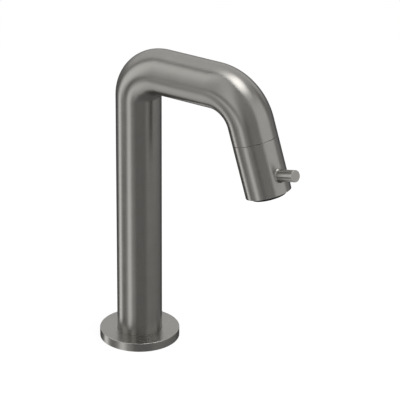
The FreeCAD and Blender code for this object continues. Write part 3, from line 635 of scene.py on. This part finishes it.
def brushed_material(name, base, roughness, brushing, grain, wear_and_highlight):
    """Metal brushed round the piece, lighter and smoother on its edges (rubbed coating plus a painted highlight),
    rougher where coarse
    """
    tree, surface = shader(name, Metallic=1.0, Anisotropic=brushing, Anisotropic_Rotation=0.25)
    place, coarse = attribute(tree, "unrolled", "Vector"), attribute(tree, "coarse")
    lines = place_group(tree, grain, {
        "Place": place, "Depth": maths(tree, "MULTIPLY_ADD", coarse, 0.7, 0.6)})
    worn_and_highlit = place_group(tree, wear_and_highlight, {
        "Place": place, "Edge": attribute(tree, "edge"), "Amount": 0.5})["Mask"]
    factor = maths(tree, "MULTIPLY_ADD", lines["Lines"], 0.9,
                   maths(tree, "MULTIPLY_ADD", lines["Cloud"], 0.5, 0.5), clamp=True)
    colour = mix_colours(tree, factor, toned(base, 0.9), toned(base, 1.1))
    gloss = maths(tree, "MULTIPLY_ADD", lines["Lines"], 0.10,
                  maths(tree, "MULTIPLY_ADD", lines["Cloud"], 0.05,
                        maths(tree, "MULTIPLY_ADD", coarse, -0.03, roughness)))
    direction = add_node(tree, "Tangent", direction_type="UV_MAP", uv_map="round_and_along")
    feed(tree, surface, {
        # Edges get a lighter base colour: partly rubbed coating, partly a painted highlight along the rounded
        # edges
        "Base Color": mix_colours(tree, worn_and_highlit, colour, toned(base, 1.5)),
        "Roughness": maths(tree, "MULTIPLY_ADD", worn_and_highlit, -0.06, gloss),
        "Normal": bumped(tree, lines["Lines"], 0.0015 * MM),
        "Tangent": direction.outputs[0]})


def plain_material(name, base, grain, scale, roughness, depth, vary, **values):
    """Moulded or lapped stuff: fine grain on the object's own coordinates"""
    tree, surface = shader(name, **values)
    fine = place_group(tree, grain, {"Place": object_place(tree), "Scale": scale})
    factor = maths(tree, "ADD", fine["Cloud"], 0.5, clamp=True)
    feed(tree, surface, {
        "Base Color": mix_colours(tree, factor, toned(base, 1 - vary), toned(base, 1 + vary)),
        "Roughness": maths(tree, "MULTIPLY_ADD", fine["Cloud"], 0.2, roughness),
        "Normal": bumped(tree, fine["Height"], depth)})


def turned_material(name, base, grain, matrix, roughness):
    """Metal with lathe marks: lines on the height and radius about the frame's Z axis"""
    tree, surface = shader(name, Metallic=1.0)
    inverse = matrix.inverted()
    mapping = add_node(tree, "Mapping", {
        "Vector": object_place(tree), "Location": inverse.to_translation(),
        "Rotation": inverse.to_euler()}, vector_type="POINT")
    place = split_up(tree, mapping.outputs[0])
    squared = maths(tree, "MULTIPLY_ADD", place["X"], place["X"],
                    maths(tree, "MULTIPLY", place["Y"], place["Y"]))
    depth = maths(tree, "ADD", maths(tree, "SQRT", squared), place["Z"])
    join = add_node(tree, "CombineXYZ", {"X": place["X"], "Y": place["Y"], "Z": depth})
    lines = place_group(tree, grain, {"Place": join.outputs[0], "Depth": 1.0})
    factor = maths(tree, "ADD", lines["Cloud"], 0.5, clamp=True)
    feed(tree, surface, {
        "Base Color": mix_colours(tree, factor, toned(base, 0.88), toned(base, 1.08)),
        "Roughness": maths(tree, "MULTIPLY_ADD", lines["Lines"], 0.15, roughness),
        "Normal": bumped(tree, lines["Lines"], 0.01 * MM)})


# Operators


class TapOperator(bpy.types.Operator):
    """Base of the tap's operators, which all need a scene and can be undone"""

    bl_options = {"REGISTER", "UNDO"}


class MakeFinishes(TapOperator):
    """Make the tap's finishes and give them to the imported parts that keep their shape"""

    bl_idname = "basin_tap.finishes"
    bl_label = "Finishes"

    def execute(self, context):
        sizes, finishes, _ = settings()
        brushed, wear_and_highlight, fine = brushed_grain_group(), edge_wear_and_highlight_group(), grain_group()
        named = FINISH_OF_SLOT
        brushed_material(named["brushed_gunmetal"], finishes.gunmetal, finishes.gunmetal_gloss,
                         finishes.brushing, brushed, wear_and_highlight)
        for suffix, matrix in (("", Matrix.Identity(4)),
                               (IN_OUTLET, outlet_matrix(sizes.lever_turn))):
            turned_material(named["brass"] + suffix, finishes.brass, brushed, matrix, 0.28)
            turned_material(named["stainless_steel"] + suffix, finishes.steel, brushed, matrix, 0.3)
        # Slot, colour, scale of the grain, roughness, depth of the grain, change of colour, more
        for slot, base, scale, roughness, depth, vary, more in (
                ("black_rubber", finishes.rubber, 6000.0, 0.62, 0.02, 0.08, {}),
                ("black_plastic", finishes.black_plastic, 5000.0, 0.45, 0.01, 0.08,
                 {"Specular_IOR_Level": 0.1}),
                ("white_plastic", finishes.white_plastic, 5000.0, 0.36, 0.005, 0.03, {}),
                ("ceramic", finishes.ceramic, 8000.0, 0.22, 0.002, 0.03, {"Coat_Weight": 0.2})):
            plain_material(named[slot], base, fine, scale, roughness, depth * MM, vary, **more)
        outlet_nodes = set(frame["record"]["behaviour"]["bodies"]["outlet_head"])
        outlet_nodes |= {"end_bush", "cartridge_body", "seal_retainer"}
        for part in frame["record"]["subparts"]:
            name = named[part["material_slot"]]
            if part["node"] in outlet_nodes and name + IN_OUTLET in bpy.data.materials:
                name += IN_OUTLET
            node = frame["nodes"][part["node"]]
            node.data.materials.clear()
            node.data.materials.append(bpy.data.materials[name])
        return {"FINISHED"}


class MakeSpoutTube(TapOperator):
    """One bent tube: column, bend, run, bend and the straight start of the outlet"""

    bl_idname = "basin_tap.spout_tube"
    bl_label = "Spout tube"

    def execute(self, context):
        sizes = settings()[0]
        route = Route(sizes)
        radius, end = TUBE_HIGH.x, route.length
        bore = radius - sizes.tube_wall
        outline = rounded(((radius, 0), (radius, end), (bore, end), (bore, 0)), sizes.tube_edge)
        outline = with_stations(outline, route.stations(math.radians(2)))
        tube = along_route("spout_tube_skin", outline, route, radius, sizes.rounds)
        finish(tube, "spout", "brushed_gunmetal", "spout_tube")
        return {"FINISHED"}


class MakeFlange(TapOperator):
    """Round flange with a rounded top edge and a groove for the deck gasket"""

    bl_idname = "basin_tap.flange"
    bl_label = "Flange"

    def execute(self, context):
        sizes = settings()[0]
        outer, top, tube = FLANGE_HIGH.x, FLANGE_HIGH.z, TUBE_HIGH.x
        groove_in, groove_out = tube + sizes.gasket_inset, outer - sizes.gasket_margin
        relief, hole = sizes.shank_radius + LOOSE_GAP, sizes.spigot_radius + LOOSE_GAP
        socket, seat = tube + FIT_GAP, top - sizes.socket_depth
        outline = rounded((
            (hole, seat - sizes.ledge), (relief, seat - sizes.ledge), (relief, 0), (groove_in, 0),
            (groove_in, sizes.gasket_depth), (groove_out, sizes.gasket_depth), (groove_out, 0),
            (outer, 0, 2 * FINE_EDGE), (outer, top, sizes.flange_edge), (socket, top),
            (socket, seat), (hole, seat)), FINE_EDGE)
        flange = turned("flange_skin", outline, Matrix.Identity(4), outer, sizes.rounds)
        finish(flange, "spout", "brushed_gunmetal", "flange")
        self.coarsen_top(flange.data, top)
        return {"FINISHED"}

    @staticmethod
    def coarsen_top(mesh, top):
        """Mark the flat top, which is turned with coarser lines than the tube"""
        flat = (points_of(mesh)[:, 2] > top - 0.001 * MM).astype(float)
        mesh.attributes.new("coarse", "FLOAT", "POINT").data.foreach_set("value", flat)


class MakeOutletSleeve(TapOperator):
    """Turning outlet: rim round the aerator, web, and a stop wall with its window"""

    bl_idname = "basin_tap.outlet_sleeve"
    bl_label = "Outlet sleeve"

    def execute(self, context):
        sizes = settings()[0]
        matrix = outlet_matrix(sizes.lever_turn)
        low, high, outer = reach_in("outlet_sleeve", matrix)
        rim_bore, bore = outer - sizes.rim_wall, outer - sizes.sleeve_wall
        stem, stop, floor = sizes.stem_bore, sizes.stop_radius, sizes.web_high
        wall_top = floor + sizes.stop_height
        outline = rounded((
            (rim_bore, low), (outer, low, sizes.rim_edge), (outer, high, sizes.rim_edge),
            (bore, high), (bore, wall_top), (stop, wall_top), (stop, floor), (stem, floor),
            (stem, sizes.web_low), (rim_bore, sizes.web_low)), FINE_EDGE)
        sleeve = turned("outlet_sleeve_skin", outline, matrix, outer, sizes.rounds)
        self.open_window(sleeve.data, sizes, matrix, bore, wall_top)
        finish(sleeve, "outlet_head", "brushed_gunmetal", "outlet_sleeve")
        return {"FINISHED"}

    @staticmethod
    def open_window(mesh, sizes, matrix, bore, wall_top, slack=0.2 * MM):
        """Lower the stop wall behind the lever, where its top would hit the fixed lug"""
        local = moved(points_of(mesh), matrix.inverted())
        radius = np.hypot(local[:, 0], local[:, 1])
        away = np.abs(np.arctan2(local[:, 0], local[:, 1]))
        in_window = (
            (away < sizes.stop_window / 2) & (radius < bore + slack)
            & (radius > sizes.stop_radius - slack) & (np.abs(local[:, 2] - wall_top) < slack))
        local[in_window, 2] -= sizes.stop_height - FIT_GAP
        mesh.vertices.foreach_set("co", moved(local, matrix).ravel())
        mesh.update()


class MakeLever(TapOperator):
    """Round lever pin with a flared foot that fits the sleeve"""

    bl_idname = "basin_tap.lever"
    bl_label = "Lever"

    def execute(self, context):
        sizes = settings()[0]
        matrix = outlet_matrix(sizes.lever_turn)
        sleeve = reach_in("outlet_sleeve", matrix)[2]
        axis_height = (sizes.web_low + sizes.web_high) / 2
        matrix = (matrix @ Matrix.Translation((0, 0, axis_height))
                  @ Matrix.Rotation(math.pi / 2, 4, "X"))
        tip = reach_in("lever_pin", matrix)[1]
        rows, outward, length, edge = self.rows(sizes, sleeve, tip, *spokes(96))
        lever = grid_object("lever_pin_skin", moved(rows, matrix), swung(outward, matrix),
                            length, edge, sizes.lever_radius, poles=(True, True), loop=False)
        finish(lever, "outlet_head", "brushed_gunmetal", "lever_pin")
        return {"FINISHED"}

    @staticmethod
    def rows(sizes, sleeve, tip, cosine, sine, steps=10, halvings=30):
        """Rows from the blind hole's end, over the saddle and the flare, to the tip's centre.

        The flare is the path of a ball of radius f that rolls between the lever (radius l) and
        a cylinder just under the sleeve (radius s). For the angle t its centre is
        ((l + f) cos t, (l + f) sin t, z) with z^2 = (s + f)^2 - ((l + f) cos t)^2. The arc turns
        from the direction to the lever's axis to the direction to the sleeve's axis, and stops
        where it meets the sleeve, which is found by halving.
        """
        radius, flare, edge = sizes.lever_radius, sizes.lever_flare, sizes.lever_edge
        corner = 0.1 * MM
        under, seat, hole = sleeve - corner, sleeve + FIT_GAP, sizes.stud_radius
        hole_end = sleeve + STUD_REACH
        round_it = np.stack([cosine, sine, 0 * cosine], -1)
        up = np.array([0.0, 0.0, 1.0])
        centre = round_it * (radius + flare)
        centre[:, 2] = np.sqrt((under + flare) ** 2 - centre[:, 0] ** 2)
        to_lever, to_sleeve = -round_it, -unit(centre * (1, 0, 1))
        opening = np.arccos((to_lever * to_sleeve).sum(1, keepdims=True))

        def direction(part):
            turned_by = part * opening
            return (np.sin(opening - turned_by) * to_lever + np.sin(turned_by) * to_sleeve
                    ) / np.sin(opening)

        def distance(part):
            place = centre + flare * direction(part)
            return np.hypot(place[:, 0], place[:, 2])[:, None]

        low, high = np.zeros_like(opening), np.ones_like(opening)
        for _ in range(halvings):
            middle = (low + high) / 2
            inside = distance(middle) < seat
            low, high = np.where(inside, low, middle), np.where(inside, middle, high)
        rows, normals, edges = [], [], []

        def add(place, normal, worn_and_highlit=0.0):
            rows.append(place)
            normals.append(np.broadcast_to(normal, place.shape))
            edges.append(worn_and_highlit)

        def on_saddle(places):
            lifted = places.copy()
            lifted[:, 2] = np.sqrt(seat ** 2 - places[:, 0] ** 2)
            return lifted, -unit(lifted * (1, 0, 1))

        add(0 * round_it + up * hole_end, -up)
        add(round_it * (hole - corner) + up * hole_end, -up)
        add(round_it * hole + up * (hole_end - corner), -round_it)
        add(on_saddle(round_it * hole)[0] + up * corner, -round_it)
        foot = (centre + flare * direction(low)) * (1, 1, 0)
        for part in (0.02, 0.5, 0.98):
            add(*on_saddle(round_it * hole + (foot - round_it * hole) * part))
        for step in range(steps + 1):
            part = direction(low * (1 - step / steps))
            # The flare's row on the sleeve gets some of the lighter edge colour: a painted highlight round the
            # foot
            add(centre + flare * part, -part, 0.3 if step == 0 else 0.0)
        base = centre[:, 2:].max()
        for part in (0.15, 0.95):
            add(round_it * radius + up * (base + (tip - edge - base) * part), round_it)
        # The tip's rounding takes the full lighter edge colour: rubbed coating plus a painted highlight
        for turn in np.linspace(0, math.pi / 2, steps // 2 + 1):
            add(round_it * (radius - edge + edge * math.cos(turn))
                + up * (tip - edge + edge * math.sin(turn)),
                round_it * math.cos(turn) + up * math.sin(turn), 1.0)
        add(round_it * (radius - 2 * edge) + up * tip, up)
        add(0 * round_it + up * tip, up)
        grid = np.stack(rows)
        gaps = np.linalg.norm(np.diff(grid, axis=0), axis=-1).mean(1)
        return grid, np.stack(normals), np.concatenate([[0], np.cumsum(gaps)]), np.array(edges)


class MakeSlipRing(TapOperator):
    """Black ring in the seam between the tube and the turning sleeve"""

    bl_idname = "basin_tap.slip_ring"
    bl_label = "Seam ring"

    def execute(self, context):
        sizes = settings()[0]
        matrix = outlet_matrix(sizes.lever_turn)
        low, high, outer = reach_in("slip_ring", matrix)
        seam = reach_in("outlet_sleeve", matrix)[1]
        skirt_out = TUBE_HIGH.x - sizes.sleeve_wall - LOOSE_GAP
        skirt_in = skirt_out - 0.3 * MM
        outline = rounded((
            (skirt_in, low), (skirt_out, low), (skirt_out, seam), (outer, seam), (outer, high),
            (skirt_in, high)), SHARP_EDGE, 3)
        ring = turned("slip_ring_skin", outline, matrix, outer, sizes.rounds)
        finish(ring, "spout", "black_plastic", "slip_ring")
        return {"FINISHED"}


def thread_cut(height, turn, pitch, depth):
    """How deep a right-handed thread is cut: a ridge with a flat crest and a flat root.

    With p the share of a pitch, height / pitch - turn / full turn, the ridge's height is
    (|p - 1/2| - 1/8) / (5/16), kept from 0 to 1, so the root is a quarter pitch wide. The depth
    is a share of the pitch.
    """
    place = (height / pitch - turn / (2 * math.pi)) % 1
    ridge = np.clip((np.abs(place - 0.5) - 1 / 8) * 16 / 5, 0, 1)
    return depth * pitch * (1 - ridge)


def fade(height, low, high, over):
    """1 between two heights, and smoothly 0 past them"""
    inside = np.clip(np.minimum(height - low, high - height) / over + 0.5, 0, 1)
    return inside * inside * (3 - 2 * inside)


class MakeShank(TapOperator):
    """Hollow brass shank with the nut's thread and the inlet's thread cut into it"""

    bl_idname = "basin_tap.shank"
    bl_label = "Threaded shank"

    def execute(self, context):
        sizes = settings()[0]
        water, inlet = sizes.water_radius, sizes.inlet_radius
        main, spigot = sizes.shank_radius, sizes.spigot_radius
        low, high, neck = SHANK_LOW.z, SHANK_HIGH.z, -sizes.shank_length
        shoulder = FLANGE_HIGH.z - sizes.socket_depth - sizes.ledge
        seal_low, seal_high = shoulder + SEAL_LOW, shoulder + SEAL_HIGH
        seal_floor, bore_edge = spigot - SEAL_DEPTH, 0.2 * MM
        outline = rounded((
            (water, low, bore_edge), (inlet - LEAD_IN, low), (inlet, low + LEAD_IN),
            (inlet, neck), (main - LEAD_IN, neck), (main, neck + LEAD_IN), (main, shoulder),
            (spigot, shoulder), (spigot, seal_low), (seal_floor, seal_low),
            (seal_floor, seal_high), (spigot, seal_high), (spigot, high - LEAD_IN),
            (spigot - LEAD_IN, high), (water, high, bore_edge)), SHARP_EDGE, 2)
        outline = with_stations(
            outline, np.arange(low + LEAD_IN, shoulder, sizes.shank_pitch / ROWS_PER_PITCH))

        def cut(radius, height, turn):
            slack = 0.01 * MM
            below = inlet - (thread_cut(height, turn, sizes.inlet_pitch, PIPE_DEPTH)
                             * fade(height, low - LEAD_IN, neck - 2 * LEAD_IN, LEAD_IN))
            above = main - (thread_cut(height, turn, sizes.shank_pitch, METRIC_DEPTH)
                            * fade(height, neck - LEAD_IN, -1.5 * LEAD_IN, LEAD_IN))
            thread = np.where(height < neck - slack, below, above)
            outside = (radius > water + LEAD_IN) & (height < shoulder - slack)
            return np.where(outside, np.minimum(radius, thread), radius)

        shank = carved("shank_skin", outline, main, 96, cut)
        finish(shank, "spout", "brass", "shank")
        return {"FINISHED"}


class MakeNut(TapOperator):
    """Hexagon nut with chamfered corners, threaded to run on the shank"""

    bl_idname = "basin_tap.nut"
    bl_label = "Back nut"

    def execute(self, context):
        sizes = settings()[0]
        low, high = NUT_LOW.z, NUT_HIGH.z
        flats, bore = min(NUT_HIGH.x, NUT_HIGH.y), sizes.shank_radius + FIT_GAP
        sixth = math.pi / 3
        corner, lead = flats / math.cos(sixth / 2), 0.8 * MM
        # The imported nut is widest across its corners, half a sixth away from its flats
        first_flat = 0.0 if NUT_HIGH.y > NUT_HIGH.x else sixth / 2
        outline = rounded((
            (bore, low), (flats, low), (corner, low + lead), (corner, high - lead),
            (flats, high), (bore, high)), 0.1 * MM, 3)
        outline = with_stations(outline, np.arange(low, high, sizes.shank_pitch / ROWS_PER_PITCH))

        def cut(radius, height, turn):
            from_flat = (turn - first_flat + sixth / 2) % sixth - sixth / 2
            hexagon = np.minimum(radius, flats / np.cos(from_flat))
            thread = sizes.shank_radius + 0.06 * MM - (
                thread_cut(height, turn, sizes.shank_pitch, METRIC_DEPTH)
                * fade(height, low + lead, high - lead, lead))
            return np.where(radius < bore + 0.15 * MM, np.minimum(hexagon, thread), hexagon)

        nut = carved("back_nut_skin", outline, sizes.shank_radius, 144, cut)
        finish(nut, "nut", "brass", "back_nut")
        return {"FINISHED"}


class MakeWashers(TapOperator):
    """Rubber and steel washers under the deck, with rounded edges"""

    bl_idname = "basin_tap.washers"
    bl_label = "Washers"

    def execute(self, context):
        sizes = settings()[0]
        bore = sizes.shank_radius + 0.2 * MM
        for name, slot, edge in (("rubber_washer", "black_rubber", 0.5 * MM),
                                 ("metal_washer", "stainless_steel", 0.2 * MM)):
            low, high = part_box(name)
            outline = rounded(
                ((bore, low.z), (high.x, low.z), (high.x, high.z), (bore, high.z)), edge)
            washer = turned(name + "_skin", outline, Matrix.Identity(4), high.x, sizes.rounds)
            finish(washer, "washers", slot, name)
        return {"FINISHED"}


# Studio


def studio_strip_group():
    """One card or strip of light on the tent, laid over what is there already.

    The card's part is the product of two smooth windows: in azimuth about a centre that leans
    with the height, and in height between a bottom and a top. Angles are in radians.
    """
    group, given, out = new_group("Studio strip", {
        "Under": 0.0, "Azimuth": 0.0, "Height": 0.0, "Centre": 0.0, "Half width": 0.2,
        "Lean": 0.0, "Bottom": -0.5, "Top": 0.5, "Softness": 0.1, "Level": 1.0}, ("Level",))
    middle = maths(group, "MULTIPLY_ADD", given["Height"], given["Lean"], given["Centre"])
    off = maths(group, "WRAP", maths(group, "SUBTRACT", given["Azimuth"], middle),
                math.pi, -math.pi)
    side = maths(group, "SUBTRACT", given["Half width"], maths(group, "ABSOLUTE", off))
    above = maths(group, "SUBTRACT", given["Height"], given["Bottom"])
    below = maths(group, "SUBTRACT", given["Top"], given["Height"])

    def window(distance):
        part = maths(group, "MULTIPLY_ADD",
                     maths(group, "DIVIDE", distance, given["Softness"]), 0.5, 0.5, clamp=True)
        return maths(group, "MULTIPLY", maths(group, "MULTIPLY", part, part),
                     maths(group, "MULTIPLY_ADD", part, -2.0, 3.0))

    inside = maths(group, "MULTIPLY", window(side),
                   maths(group, "MULTIPLY", window(above), window(below)))
    change = maths(group, "SUBTRACT", given["Level"], given["Under"])
    group.links.new(maths(group, "MULTIPLY_ADD", change, inside, given["Under"]), out["Level"])
    return group


# Cards of the tent, each over the ones before it: name, centre azimuth from the camera's (to its
# right), half width, lean, bottom, top, level. Angles are in degrees, in steps of 5.
TENT_CARDS = (
    ("deck_panel", -140, 30, 0.0, -90, -45, 0.9),
    ("back_wall", 180, 65, 0.0, 10, 90, 0.8),
    ("back_floor", 180, 45, 0.0, -45, -10, 0.1),
    ("left_box", -90, 20, 0.3, -15, 85, 1.3),
    ("left_edge", -40, 10, 0.3, 0, 70, 1.4),
    ("low_panel", -65, 45, 0.0, -70, -30, 0.9),
    ("left_strip", -100, 10, 0.5, -40, -15, 1.6),
    ("low_gap", -85, 10, 0.0, -35, -15, 0.0),
    ("front_strip", -50, 10, 0.0, -50, -10, 1.4),
    ("front_gap", 10, 20, 0.0, -15, 65, 0.4),
    ("right_box", 80, 45, 0.0, -15, 40, 0.9),
    ("right_shade", 115, 15, 0.0, -10, 40, 0.3),
    ("top_box", 75, 60, 0.0, 60, 90, 4.0),
)
TENT_LEVEL = 0.2
CARD_SOFTNESS = 7  # Degrees over which a card fades out at its edge

# Soft boxes as area lamps: name, azimuth from the camera's and height in degrees, width, watts
SOFT_BOXES = (("top_box", 68, 62, 1.2, 30), ("left_box", -80, 25, 0.8, 12),
              ("front_box", 0, 50, 1.0, 8))
LAMP_DISTANCE = 1.8  # From the tap's middle to each soft box

# The floor: radii of its rings past the hole, and where and from what it fades to plain white
FLOOR_RINGS = (0.1, 1.0, 12.0)
FLOOR_FADE = {"From Min": 0.15, "From Max": 0.5, "To Min": 0.9, "To Max": 1}


def towards(azimuth, height):
    """Direction at an azimuth round the tap, 0 at its front and 90 degrees at +X, and a height"""
    return Vector((math.sin(azimuth) * math.cos(height),
                   -math.cos(azimuth) * math.cos(height), math.sin(height)))


def angles_from(tree, vector, azimuth):
    """Azimuth from a direction, to its right, and height of a vector, in radians"""
    turn = add_node(tree, "VectorRotate", {"Vector": vector, "Angle": -azimuth},
                    rotation_type="Z_AXIS")
    level = add_node(tree, "VectorMath", {0: turn.outputs[0]}, operation="NORMALIZE")
    place = split_up(tree, level.outputs[0])
    across = maths(tree, "ARCTAN2", place["X"], maths(tree, "MULTIPLY", place["Y"], -1.0))
    return across, maths(tree, "ARCSINE", place["Z"])


def white_for_background(tree, dim, white):
    """Mix two shaders: the second for camera, glossy and transmission rays"""
    path = add_node(tree, "LightPath").outputs
    seen = maths(tree, "MAXIMUM", path["Is Camera Ray"], maths(
        tree, "MAXIMUM", path["Is Glossy Ray"], path["Is Transmission Ray"]))
    return add_node(tree, "MixShader", {0: seen, 1: dim, 2: white}).outputs[0]


class MakeStudio(TapOperator):
    """Camera at the photograph's angle, pale floor, soft lamps and the tent that metal mirrors"""

    bl_idname = "basin_tap.studio"
    bl_label = "Studio"

    def execute(self, context):
        context.scene.view_settings.view_transform = "Standard"
        for make in (self.camera, self.world, self.floor, self.tent, self.lamps):
            make(context.scene, settings()[2])
        return {"FINISHED"}

    @staticmethod
    def camera(scene, studio):
        """Camera aimed at its target, turned about its own axis by the roll"""
        azimuth, roll = studio.view_azimuth, studio.view_roll
        back = towards(azimuth, studio.view_height)
        level = Vector((math.cos(azimuth), math.sin(azimuth), 0))
        right = math.cos(roll) * level + math.sin(roll) * back.cross(level)
        camera = bpy.data.objects.new("camera", bpy.data.cameras.new("camera"))
        scene.collection.objects.link(camera)
        turn = Matrix((right, back.cross(right), back)).transposed()
        place = Vector(studio.view_target) + back * studio.view_distance
        camera.matrix_world = Matrix.Translation(place) @ turn.to_4x4()
        camera.data.lens = studio.lens
        camera.data.shift_x, camera.data.shift_y = studio.shift
        scene.camera = camera

    @staticmethod
    def world(scene, studio):
        """Even light from all round, and plain white where the camera or a mirror sees it"""
        world = bpy.data.worlds.new("studio")
        tree = empty_tree(world)
        dim, white = (
            add_node(tree, "Background", {"Color": (1, 1, 1, 1), "Strength": strength}).outputs[0]
            for strength in (studio.world_level, 1))
        add_node(tree, "OutputWorld", {"Surface": white_for_background(tree, dim, white)})
        world.cycles.sampling_method = "NONE"
        scene.world = world

    @staticmethod
    def floor(scene, studio):
        """A pale disc with the hole that the shank goes through, which fades to plain white"""
        rings = np.array([studio.deck_hole, *FLOOR_RINGS])
        cosine, sine = spokes(96)
        across = rings[:, None]
        grid = np.stack([across * cosine, across * sine, 0 * across * cosine - LOOSE_GAP], -1)
        floor = grid_object("floor", grid, None, rings, 0 * rings, 1.0, loop=False)
        material = bpy.data.materials.new("floor")
        tree = empty_tree(material)
        matt = add_node(tree, "BsdfDiffuse", {"Color": (0.9, 0.9, 0.9, 1)}).outputs[0]
        glow = add_node(tree, "Emission", {"Strength": 1.0}).outputs[0]
        away = add_node(tree, "VectorMath", {0: object_place(tree)}, operation="LENGTH")
        factor = add_node(tree, "MapRange", {"Value": away.outputs["Value"], **FLOOR_FADE})
        lit = add_node(tree, "MixShader", {0: factor.outputs["Result"], 1: matt, 2: glow})
        add_node(tree, "OutputMaterial",
                 {"Surface": white_for_background(tree, matt, lit.outputs[0])})
        material.cycles.emission_sampling = "NONE"
        floor.data.materials.append(material)
        floor.visible_glossy = False

    @staticmethod
    def tent(scene, studio):
        """A ball round the set that only glossy rays see: light strips and dark cards"""
        columns, rows = 64, 33
        around, up = np.meshgrid(angles_round(columns),
                                 np.linspace(-math.pi / 2, math.pi / 2, rows))
        grid = np.stack([np.cos(around) * np.cos(up), np.sin(around) * np.cos(up), np.sin(up)], -1)
        tent = grid_object("tent", grid * studio.tent_radius, None, up[:, 0], 0 * up[:, 0], 1.0,
                           poles=(True, True), loop=False)
        material = bpy.data.materials.new("tent")
        tree = empty_tree(material)
        azimuth, height = angles_from(tree, object_place(tree), studio.view_azimuth)
        strip, level = studio_strip_group(), TENT_LEVEL
        for _, centre, half, lean, bottom, top, value in TENT_CARDS:
            level = place_group(tree, strip, {
                "Under": level, "Azimuth": azimuth, "Height": height, "Lean": lean,
                "Centre": math.radians(centre), "Half width": math.radians(half),
                "Bottom": math.radians(bottom), "Top": math.radians(top),
                "Softness": math.radians(CARD_SOFTNESS), "Level": value})["Level"]
        glow = add_node(tree, "Emission", {"Strength": level}).outputs[0]
        add_node(tree, "OutputMaterial", {"Surface": glow})
        material.cycles.emission_sampling = "NONE"
        tent.data.materials.append(material)
        for ray in ("camera", "diffuse", "transmission", "volume_scatter", "shadow"):
            setattr(tent, "visible_" + ray, False)

    @staticmethod
    def lamps(scene, studio):
        """Round soft boxes that light what is matt"""
        middle = (Vector(cad_box[0]) + Vector(cad_box[1])) / 2
        for name, across, height, width, power in SOFT_BOXES:
            away = towards(studio.view_azimuth + math.radians(across), math.radians(height))
            lamp = bpy.data.objects.new(name, bpy.data.lights.new(name, "AREA"))
            scene.collection.objects.link(lamp)
            lamp.data.shape = "DISK"
            lamp.data.size = width
            lamp.data.energy = power
            lamp.location = middle + away * LAMP_DISTANCE
            lamp.rotation_euler = away.to_track_quat("Z", "Y").to_euler()
            lamp.visible_camera = lamp.visible_glossy = False


MAKERS = (
    MakeFinishes, MakeSpoutTube, MakeFlange, MakeOutletSleeve, MakeLever, MakeSlipRing,
    MakeShank, MakeNut, MakeWashers, MakeStudio,
)


class TapPanel(bpy.types.Panel):
    """Buttons that make the tap's pieces, and its sizes and finishes"""

    bl_idname = "VIEW3D_PT_basin_tap"
    bl_label = "Basin tap"
    bl_space_type = "VIEW_3D"
    bl_region_type = "UI"
    bl_category = "Basin tap"

    def draw(self, context):
        for maker in MAKERS:
            self.layout.operator(maker.bl_idname)
        for group in settings():
            box = self.layout.box()
            for name in group.bl_rna.properties.keys():
                if name not in ("rna_type", "name"):
                    box.prop(group, name)


CLASSES = (TapSizes, TapFinishes, TapStudio, *MAKERS, TapPanel)


def register():
    for item in CLASSES:
        bpy.utils.register_class(item)
    bpy.types.Scene.tap_sizes = PointerProperty(type=TapSizes)
    bpy.types.Scene.tap_finishes = PointerProperty(type=TapFinishes)
    bpy.types.Scene.tap_studio = PointerProperty(type=TapStudio)


def unregister():
    for name in ("tap_sizes", "tap_finishes", "tap_studio"):
        delattr(bpy.types.Scene, name)
    for item in reversed(CLASSES):
        bpy.utils.unregister_class(item)


def main():
    register()
    for maker in MAKERS:
        family, name = maker.bl_idname.split(".")
        getattr(getattr(bpy.ops, family), name)()
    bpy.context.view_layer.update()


if __name__ == "__main__":
    main()
